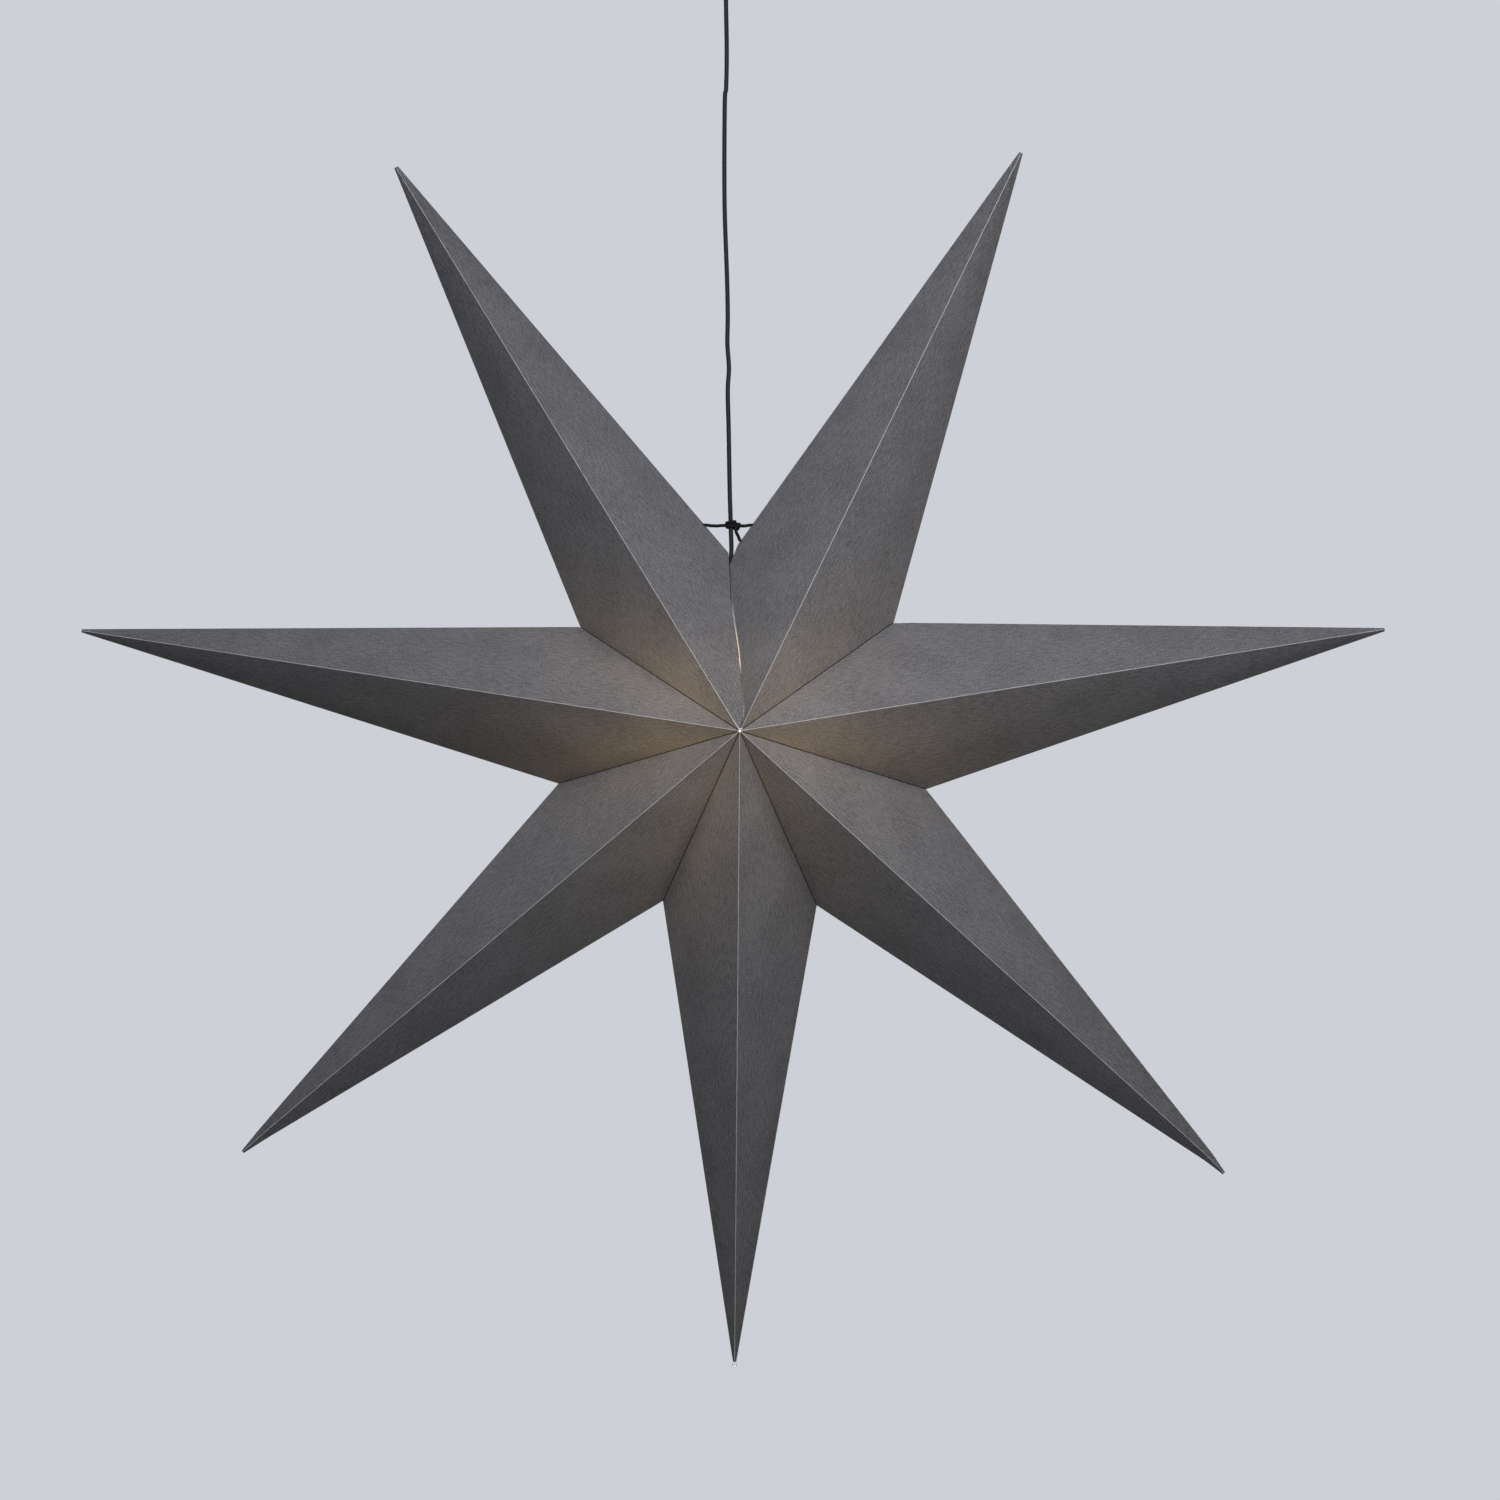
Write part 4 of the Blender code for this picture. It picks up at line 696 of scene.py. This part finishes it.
def pointLayout(number):
    # one point's planes: outer and inner panel, the face to its neighbour, the cuts at the hub and the tip
    after = (number + 1) % len(star["names"])
    ridge = direction(star["tipAngles"][number])
    tipRadius = star["tipRadius"] * star["tipShares"][number]
    apex, frontHub = ridge * (tipRadius + star["tipTrim"]), np.array((0, -star["halfDepth"], 0))
    closing = star["closingShare"] if after == 0 else star["creaseShares"][after]
    sides = []
    for facing, angle, share in ((-1, star["creaseAngles"][number], star["creaseShares"][number]),
                                 (1, star["creaseAngles"][after], closing)):
        atSeam = (number, facing) in ((0, -1), (6, 1))
        valley = direction(angle) * star["creaseRadius"] * share
        panel = planeThrough(frontHub, valley, apex, ridge * star["creaseRadius"])
        side = (direction(angle + 90) * facing, -(star["seamGap"] if atSeam else star["glueGap"]) / 2)
        crease = unit(valley - frontHub)
        sides.append({
            "facing": facing, "atSeam": atSeam, "valley": valley, "panel": panel, "side": side,
            "inner": sunk(panel, star["paper"]), "strip": sunk(side, star["paper"]), "crease": crease,
            "inwards": turnedTo(np.cross(side[0], crease), -panel[0]),
        })
    middle = np.mean([side["valley"] @ ridge for side in sides])
    return {"ridge": ridge, "tipRadius": tipRadius, "apex": apex, "frontHub": frontHub, "sides": sides,
            "middle": middle, "cuts": ((-ridge, -star["hubHole"]), (ridge, middle), (ridge, tipRadius))}


def foldAt(side, height):
    # where a point's outer side fold passes a height above the hub
    return meet(side["panel"], behind(side["panel"]), (np.array((0, 0, 1)), height))


def panelEdges(number, layout, part):
    # a panel's ridge and its other edge, the crease and then the side fold: of its outer face, then its inner
    rows, edges = np.arange(lastRow + 1), []
    hubCut, _, tipCut = layout["cuts"]
    for face, end in (("panel", "side"), ("inner", "strip")):
        panel, side, back = part[face], part[end], behind(part[face])
        stops = [meet(panel, side, hubCut), meet(panel, back, side), meet(panel, back, tipCut)]
        stopRows = [0, star["creaseRows"], lastRow]
        ridgeStops = [meet(layout["sides"][0][face], layout["sides"][1][face], cut) for cut in layout["cuts"]]
        edges.append(alongStops(rows, stopRows, ridgeStops))
        if (number, part["facing"]) == (0, -1):
            cutNormal = -direction(star["cutAngle"] + 90)
            cornerCut = (cutNormal, cutNormal @ direction(star["creaseAngles"][0]) * star["cutFoot"])
            stops[1:2] = [meet(panel, side, cornerCut), meet(panel, back, cornerCut)]
            stopRows[1:1] = [star["creaseRows"] - star["cutRows"]]
        edges.append(alongStops(rows, stopRows, stops))
    return edges


def lampGlow(points, normal, creaseGap, flapSide):
    # cos / distance^2, steepened by the paper; the holder shades the top and the glue flaps shade the creases
    ray = points - lampLight["place"]
    distance = np.linalg.norm(ray, axis=-1)
    light = (np.abs(ray @ normal) / distance**3 / lampLight["divisor"]) ** lampLight["power"]
    upwards = np.clip((ray[..., 2] / distance - lampLight["topShadeFrom"]) / lampLight["topShadeOver"], 0, 1)
    outwards = np.linalg.norm(points * (1, 0, 1), axis=-1) - lampLight["flapShadeFrom"]
    held = lampLight["flapShade"] * np.exp(-((creaseGap / lampLight["flapShadeWidth"]) ** 2)) * flapSide
    held = held * np.clip(outwards / lampLight["flapShadeOver"], 0, 1)
    return light * (1 - lampLight["topShade"] * upwards) * (1 - held)


def seamCoreAndLeakLight(reach, creaseGap):
    # the pale core along the open seam's edge, painted pale as the lamp's light leaking through the seam, and
    # a painted glint of that light on it
    coreAndLight = np.zeros_like(reach)
    edge = np.clip(1.2 - creaseGap / paleCoreAndLight["seamWidth"], 0, 1)   # full over the first fifth of its width
    for start, end, strength in paleCoreAndLight["seam"]:
        shown = window(reach, start, end, paleCoreAndLight["seamRise"], paleCoreAndLight["seamFall"])
        coreAndLight = np.maximum(coreAndLight, strength * edge * shown)
    start, end, glint = paleCoreAndLight["glint"]
    return coreAndLight, glint * coreAndLight * window(reach, start, end, paleCoreAndLight["glintRise"], paleCoreAndLight["glintFall"])


def bendTip(points, layout, kink, length):
    # the last stretch of a point bent sideways, most where it starts
    ridge, tipRadius, middle = layout["ridge"], layout["tipRadius"], layout["middle"]
    bend = window(points @ ridge, middle, tipRadius, tipRadius - length - middle, length)
    return points + (kink * bend)[..., None] * np.cross((0, 1, 0), ridge)


def panelGrids(number, layout, part):
    # one panel in front with its glue flap, and its mirror behind
    name, facing, panel = star["names"][number], part["facing"], part["panel"]
    apex, frontHub = layout["apex"], layout["frontHub"]
    outRidge, outEdge, inRidge, inEdge = panelEdges(number, layout, part)
    across = np.linspace(0, 1, star["columns"] + 1)[None]
    run = (np.arange(lastRow + 1) / lastRow)[:, None]
    outer, inside = (start[:, None] + (end - start)[:, None] * across[..., None]
                     for start, end in ((outRidge, outEdge), (inRidge, inEdge)))
    # distances in the sheet: along the ridge, from the ridge, from the crease, from the side fold
    ridgeLine = unit(apex - frontHub)
    acrossLine = turnedTo(np.cross(panel[0], ridgeLine), part["valley"] - frontHub)
    u, v = (outer - frontHub) @ ridgeLine, (outer - frontHub) @ acrossLine
    nearCrease = np.abs((outer - frontHub) @ np.cross(panel[0], part["crease"]))
    if part["atSeam"]:
        nearCrease = np.abs(nearCrease - nearCrease[:, -1:])   # the open seam's edge stands off the crease
    foldGap = np.abs((outer - apex) @ np.cross(panel[0], unit(apex - part["valley"])))
    pastValley = np.maximum((outer - part["valley"]) @ part["crease"], 0)
    # past the valley corner the painted crease shade dies out three times as fast; at the open seam it stands
    # off, so its painted shade is fainter
    creaseGap = np.hypot(nearCrease, pastValley * 3) + (paleCoreAndLight["seamShadeStandOff"] if part["atSeam"] else 0)
    # the pale core line on the counter-clockwise side fold, with a painted highlight where it faces the key
    # light
    coreAndHighlightGap = foldGap if name in paleCoreAndLight["folds"] and facing < 0 else np.ones_like(u)
    if (name, facing) in paleCoreAndLight["corners"]:
        corner = np.linalg.norm(outer - outEdge[star["creaseRows"]], axis=-1)
        coreAndHighlightGap = np.minimum(coreAndHighlightGap, corner * paleCoreAndLight["lineWidth"] / paleCoreAndLight["corners"][name, facing])
    glow = lampGlow(outer, panel[0], nearCrease, pastValley == 0) * lampLight["shares"][name][facing > 0]
    coreAndLight = np.zeros_like(u)
    # the open seam's edge: the pale core colour painted as the lamp's light leaking through, plus a painted
    # glint
    if (number, facing) == (0, -1):
        coreAndLight, glint = seamCoreAndLeakLight(np.linalg.norm(outer * (1, 0, 1), axis=-1), nearCrease)
        glow = glow + glint
    # paper stands a little proud between its folds, in a bow and a wave that differs by point
    width = np.linalg.norm(outEdge - outRidge, axis=1)[:, None]
    slack = (np.sin(math.tau * across + number)
             * np.sin(math.tau * (star["waveCount"] * run + 0.37 * number + 0.5)))
    swell = width * np.sin(math.pi * across) * (star["bow"] + star["wave"] * slack)
    swell = (swell * np.clip(run * star["swellStart"], 0, 1))[..., None] * panel[0]
    outer, inside = outer + swell, inside + swell
    # glue flap: turned in along the crease, tapered at both ends
    rows = star["creaseRows"] + 1
    fromHub = np.linalg.norm(outEdge[:rows] - outEdge[0], axis=1)
    creaseEnd = np.linalg.norm(meet(panel, behind(panel), part["side"]) - outEdge[0])
    creaseEnd -= flapPlan["seamEndSetback" if part["atSeam"] else "endSetback"]
    flap = window(fromHub, flapPlan["hubSetback"], creaseEnd, flapPlan["taper"], flapPlan["taper"])
    depth = np.linspace(0, 1, flapPlan["columns"] + 1)
    reach = flapPlan["width"] * flap[:, None] * depth
    flapOut, flapIn = (edge[:rows, None] + reach[..., None] * part["inwards"] for edge in (outEdge, inEdge))
    if part["atSeam"]:
        lips = (1 - depth[None]) ** flapPlan["lipPower"]
        outer, inside = (shiftSeam(grid, across, across**4, -facing) for grid in (outer, inside))
        flapOut, flapIn = (shiftSeam(grid, 1.0, lips, -facing) for grid in (flapOut, flapIn))
    if name in star["tipKinks"]:
        outer, inside = (bendTip(grid, layout, *star["tipKinks"][name]) for grid in (outer, inside))
    sheet = np.stack((u, v * facing), -1)
    flapSheet = np.stack(np.broadcast_arrays(u[:rows, -1:], (v[:rows, -1:] + reach) * facing), -1)
    far = {"ridgeGap": 1.0, "creaseGap": 1.0, "coreAndHighlightGap": 1.0}
    near = {"ridgeGap": v, "creaseGap": creaseGap, "glow": glow}
    ends = (np.stack((flapOut[:, -1], flapIn[:, -1]), 1), np.stack((outer[0], inside[0])),
            np.stack((outer[-1], inside[-1])))
    grids = []   # the back takes its fibres from another stretch of the pattern
    for mirror, shift, show in ((np.ones(3), (0, 0), {"seamLeakAndCore": coreAndLight, "coreAndHighlightGap": coreAndHighlightGap}),
                                (mirrorBack, (0, 0.4), {"coreAndHighlightGap": 1.0})):
        faces = ((outer, sheet, 0, {**near, **show}), (inside, sheet, 1, far), (flapOut, flapSheet, 0, far),
                 (flapIn, flapSheet, 1, far))
        grids += [{"points": points * mirror + hubPlace, "sheet": flat + shift, "look": look, "values": known}
                  for points, flat, look, known in faces]
        grids += [{"points": points * mirror + hubPlace, "look": 2, "values": far} for points in ends]
    return grids


layouts = [pointLayout(number) for number in range(len(star["names"]))]
for number, (name, layout) in enumerate(zip(star["names"], layouts)):
    grids = [grid for part in layout["sides"] for grid in panelGrids(number, layout, part)]
    buildPiece("paper_point_" + name, grids, [paper, insidePaper, paperCore], "star", "star_point_" + name)
print("paper points done")

# closure pads: hook and loop tape between the flaps of the open seam, one pair in front and one behind
pad = {"length": 0.014, "width": 0.007, "thickness": 0.00035, "place": 0.036, "stepOff": 0.00002,
       "squareness": 0.32, "topRings": 13, "underRings": 5, "sides": 64, "hookPitch": 0.0009,
       "hookRise": 0.00008}


def padGrid(layout, part, mirror):
    # a rounded oblong of nested rings, |x/a|^n + |y/b|^n = 1, with hooks on top: cos^2(pi x/p) cos^2(pi y/p)
    turn = np.linspace(0, math.tau, pad["sides"] + 1)
    circle = np.stack((np.cos(turn), np.sin(turn)), -1)
    rim = np.sign(circle) * np.abs(circle) ** pad["squareness"] * np.array((pad["length"], pad["width"])) / 2
    rings, under = pad["topRings"], pad["underRings"]
    share = np.concatenate((np.linspace(0, 1, rings), (1,), np.linspace(1, 0, under)))
    level = np.where(np.arange(len(share)) < rings, pad["thickness"], 0.0)
    flat = rim[None] * share[:, None, None]
    hooks = (np.cos(math.pi * flat / pad["hookPitch"]) ** 2).prod(-1)
    rise = level[:, None] - pad["hookRise"] * (1 - hooks) * (np.arange(len(share)) < rings - 1)[:, None]
    start = meet(part["inner"], part["side"], layout["cuts"][0])
    centre = start + part["crease"] * pad["place"] + part["inwards"] * flapPlan["width"] / 2
    points = (centre + flat[..., :1] * part["crease"] + flat[..., 1:] * part["inwards"]
              + (rise + pad["stepOff"])[..., None] * part["side"][0])
    depth = np.clip(flat[..., 1] / flapPlan["width"] + 0.5, 0, 1)
    points = shiftSeam(points, 1.0, (1 - depth) ** flapPlan["lipPower"], -part["facing"])
    return {"points": points * mirror + hubPlace}


for kind, layout, side in (("hook", layouts[6], 1), ("loop", layouts[0], 0)):
    for where, mirror in (("front", np.ones(3)), ("back", mirrorBack)):
        grid = padGrid(layout, layout["sides"][side], mirror)
        buildPiece(f"{kind}_tape_{where}", [grid], [hookNylon], "star", f"closure_{kind}_pad_{where}")

# tie: a string, two turns round the cord, knotted at its right, each end through a point to a stop knot
tie = {"height": 0.1586, "radius": 0.00132, "turns": 2, "pitch": 0.0027, "clear": 0.0001, "inside": 0.006,
       "knot": (0.0048, -0.0006, -0.0009), "knotRadius": 0.0024, "stopRadius": 0.0016, "stopShare": 0.85,
       "sag": 0.0007, "sides": 18, "stopSides": 14, "step": 0.0006, "tailStep": 0.0005, "turnSteps": 24,
       "plies": {"count": 3, "pitch": 0.0052, "groove": 0.15},
       "meetsWrap": ((-0.0006, 0, -0.0002), (0.0012, -0.0016, 0)),   # the left arm's end, from the wrap
       "tail": ((-0.0010, -0.0014, -0.0032), (0.0004, -0.0022, -0.0068), (0.0022, -0.0026, -0.0108))}


def trefoil(centre, size, steps=72):
    # overhand knot: (sin t + 2 sin 2t, -sin 3t, cos t - 2 cos 2t) / 3, stretched along Y
    t = np.linspace(0, math.tau, steps + 1)[:-1]
    x, y, z = np.sin(t) + 2 * np.sin(2 * t), -1.3 * np.sin(3 * t), np.cos(t) - 2 * np.cos(2 * t)
    return np.asarray(centre) + np.stack((x, y, z), 1) / 3 * size


tieLevel = star["hub"][2] + tie["height"]
cordAt = cordPath[np.argmin(np.abs(cordPath[:, 2] - tieLevel))]
tieMiddle = np.array((cordAt[0], 0, tieLevel))
wrapRadius = cordPlan["radius"] + tie["clear"] + tie["radius"]
leftHole, rightHole = (hubPlace + foldAt(layouts[number]["sides"][side], tie["height"])
                       for number, side in ((6, 1), (0, 0)))
leftEnd, rightEnd = leftHole - (tie["inside"], 0, 0), rightHole + (tie["inside"], 0, 0)
turn = np.linspace(0, math.tau * tie["turns"], tie["turnSteps"] * tie["turns"] + 1)   # knot to knot
wraps = tieMiddle + np.stack((wrapRadius * np.cos(turn), -wrapRadius * np.sin(turn),
                              tie["pitch"] * (tie["turns"] / 2 - turn / math.tau)), 1)
wrapSide = tieMiddle - (wrapRadius, 0, 0)
knotPlace = tieMiddle + tie["knot"]
leftArm = smoothRoute([leftEnd, leftHole, (wrapSide + leftHole) / 2 - (0, 0, tie["sag"]),
                       *(wrapSide + stop for stop in np.array(tie["meetsWrap"]))], tie["step"])
rightArm = smoothRoute([knotPlace, (knotPlace + rightHole) / 2 - (0, 0, tie["sag"] / 3), rightHole, rightEnd],
                       tie["step"])
looseEnd = smoothRoute([knotPlace, *(knotPlace + stop for stop in np.array(tie["tail"]))], tie["tailStep"])
twist = {"across": (0, 1, 0.2), "plies": tie["plies"]}
grids = [tubeGrid(route, tie["radius"], tie["sides"], **twist)
         for route in (np.vstack((knotPlace, wraps, knotPlace)), leftArm, rightArm, looseEnd)]
grids += [tubeGrid(trefoil(knotPlace, tie["knotRadius"]), tie["radius"], tie["sides"], **twist, closed=True)]
for place in (leftEnd, rightEnd):
    grids += [tubeGrid(trefoil(place, tie["stopRadius"]), tie["radius"] * tie["stopShare"], tie["stopSides"],
                       twist["across"], closed=True)]
buildPiece("knotted_tie_string", grids, [blackString], "star", "tie_string", 60)

# eye of plated wire in the bottom tip, on a shank that runs up between the panels
eye = {"radius": 0.0014, "wire": 0.00055, "shank": 0.00035, "shankLength": 0.0045, "clear": 0.0003,
       "ringSteps": 64, "wireSides": 24, "shankSteps": 12, "shankSides": 16}
bottom = layouts[star["names"].index("bottom")]
eyeCentre = hubPlace + bottom["ridge"] * (bottom["tipRadius"] + eye["radius"] + eye["wire"] + eye["clear"])
turn = np.linspace(0, math.tau, eye["ringSteps"] + 1)[:-1]
eyeRing = eyeCentre + eye["radius"] * np.stack((np.cos(turn), 0 * turn, np.sin(turn)), 1)
shankReach = eye["radius"] + np.linspace(0, eye["shankLength"], eye["shankSteps"])[:, None]
grids = [tubeGrid(eyeRing, eye["wire"], eye["wireSides"], closed=True),
         tubeGrid(eyeCentre - bottom["ridge"] * shankReach, eye["shank"], eye["shankSides"])]
buildPiece("bottom_tip_wire_eye", grids, [brightWire], "star", "bottom_tip_eyelet")
print("tie, closure and tip eye done")

# look of the CAD nodes, by their finish
slotLooks = {
    "black_paint": blackSteel, "black_plastic": blackPlastic, "pale_plastic": palePlastic,
    "contact_ceramic": ceramic, "bright_steel": steel, "brass": brass, "frosted_glass": frostedGlass,
    "clear_glass": clearGlass, "filament": filamentWire, "closure_pad": hookNylon, "tie_string": blackString,
    "cord_sheath": cordSheath, "paper": paper,
}
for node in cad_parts.values():
    for materialSlot in node.material_slots:
        materialSlot.material = slotLooks[materialSlot.material.name]

# floor, background and light
stage = {
    "background": "#cdd0d6", "ambientBelow": 0.04, "ambientAbove": 0.085, "ambientColor": "#fdf8ef",
    "floor": "#d6d8dc", "floorRoughness": 0.9, "floorHeight": -1.90, "floorRadius": 1.1, "floorSides": 96,
    "floorLift": 0.75, "fadeFrom": 0.55,   # share of the backdrop's tone, and where the edge starts to fade
    "lights": {"key_light": {"place": (0.347, -0.85, -0.272), "size": 0.9, "power": 8.7, "color": "#f4f2f7"},
               "fill_light": {"place": (-0.65, -1.577, 0.306), "size": 0.9, "power": 14.2,
                              "color": "#eef1ff"},
               "back_light": {"place": (-0.45, 1.30, 0.10), "size": 1.4, "power": 28, "color": "#f6f6ff"}},
}


def seenRays(tree):
    # 1 for what is seen straight on, mirrored or through glass, and 0 for the light that falls on things
    seen = addNode(tree, "LightPath", out="Is Camera Ray")
    for kind in ("Is Glossy Ray", "Is Transmission Ray"):
        seen = addNode(tree, "Math", {0: seen, 1: addNode(tree, "LightPath", out=kind)}, operation="MAXIMUM")
    return seen


world = bpy.data.worlds.new("studio")
scene.world = world
world.use_nodes = True
tree = world.node_tree
tree.nodes.clear()
backdrop = {"Color": hexColor(stage["background"]), "Strength": 1.0}
skyward = addNode(tree, "SeparateXYZ", {0: addNode(tree, "TexCoord", out="Generated")}, "Z")
strength = addNode(tree, "MapRange", {"Value": skyward, "From Min": -1.0, "From Max": 1.0,
                                      "To Min": stage["ambientBelow"], "To Max": stage["ambientAbove"]})
ambient = addNode(tree, "Background", {"Color": hexColor(stage["ambientColor"]), "Strength": strength})
mixed = addNode(tree, "MixShader", {0: seenRays(tree), 1: ambient, 2: addNode(tree, "Background", backdrop)})
feed(tree, tree.nodes.new("ShaderNodeOutputWorld"), {"Surface": mixed})

# floor: lifted towards the backdrop's tone, its shadows kept, and clear from below and past its fading edge
floorMaterial, tree, shader = newMaterial("pale_floor")
feed(tree, shader, {"Base Color": hexColor(stage["floor"]), "Roughness": stage["floorRoughness"]})
fromMiddle = addNode(tree, "VectorMath", {0: addNode(tree, "TexCoord", out="Object")}, "Value",
                     operation="LENGTH")
fadeRange = {"Value": fromMiddle, "From Min": stage["fadeFrom"] * stage["floorRadius"],
             "From Max": stage["floorRadius"]}
fade = addNode(tree, "MapRange", fadeRange, interpolation_type="SMOOTHSTEP")
underside = addNode(tree, "NewGeometry", out="Backfacing")
gone = addNode(tree, "Math", {0: fade, 1: underside}, operation="MAXIMUM")
lift = addNode(tree, "Math", {0: seenRays(tree), 1: stage["floorLift"]}, operation="MULTIPLY")
lifted = addNode(tree, "MixShader", {0: lift, 1: shader.outputs[0], 2: addNode(tree, "Emission", backdrop)})
shown = addNode(tree, "MixShader", {0: gone, 1: lifted, 2: addNode(tree, "BsdfTransparent")})
feed(tree, tree.nodes["Material Output"], {"Surface": shown})
floorMesh = bpy.data.meshes.new("floor")
turn = np.linspace(0, math.tau, stage["floorSides"] + 1)[:-1]
rim = stage["floorRadius"] * np.stack((np.cos(turn), np.sin(turn), 0 * turn), 1)
floorMesh.from_pydata(rim.tolist(), [], [list(range(len(rim)))])
floorMesh.materials.append(floorMaterial)
floor = bpy.data.objects.new("floor", floorMesh)
floor.location = (0, 0, stage["floorHeight"])
scene.collection.objects.link(floor)

for name, light in stage["lights"].items():
    lamp = bpy.data.objects.new(name, bpy.data.lights.new(name, "AREA"))
    lamp.data.shape = "DISK"
    lamp.data.size = light["size"]
    lamp.data.energy = light["power"]
    lamp.data.color = hexColor(light["color"])[:3]
    lamp.location = light["place"]
    lamp.rotation_euler = Vector(hubPlace - light["place"]).to_track_quat("-Z", "Y").to_euler()
    lamp.visible_camera = False
    scene.collection.objects.link(lamp)
print("stage done")
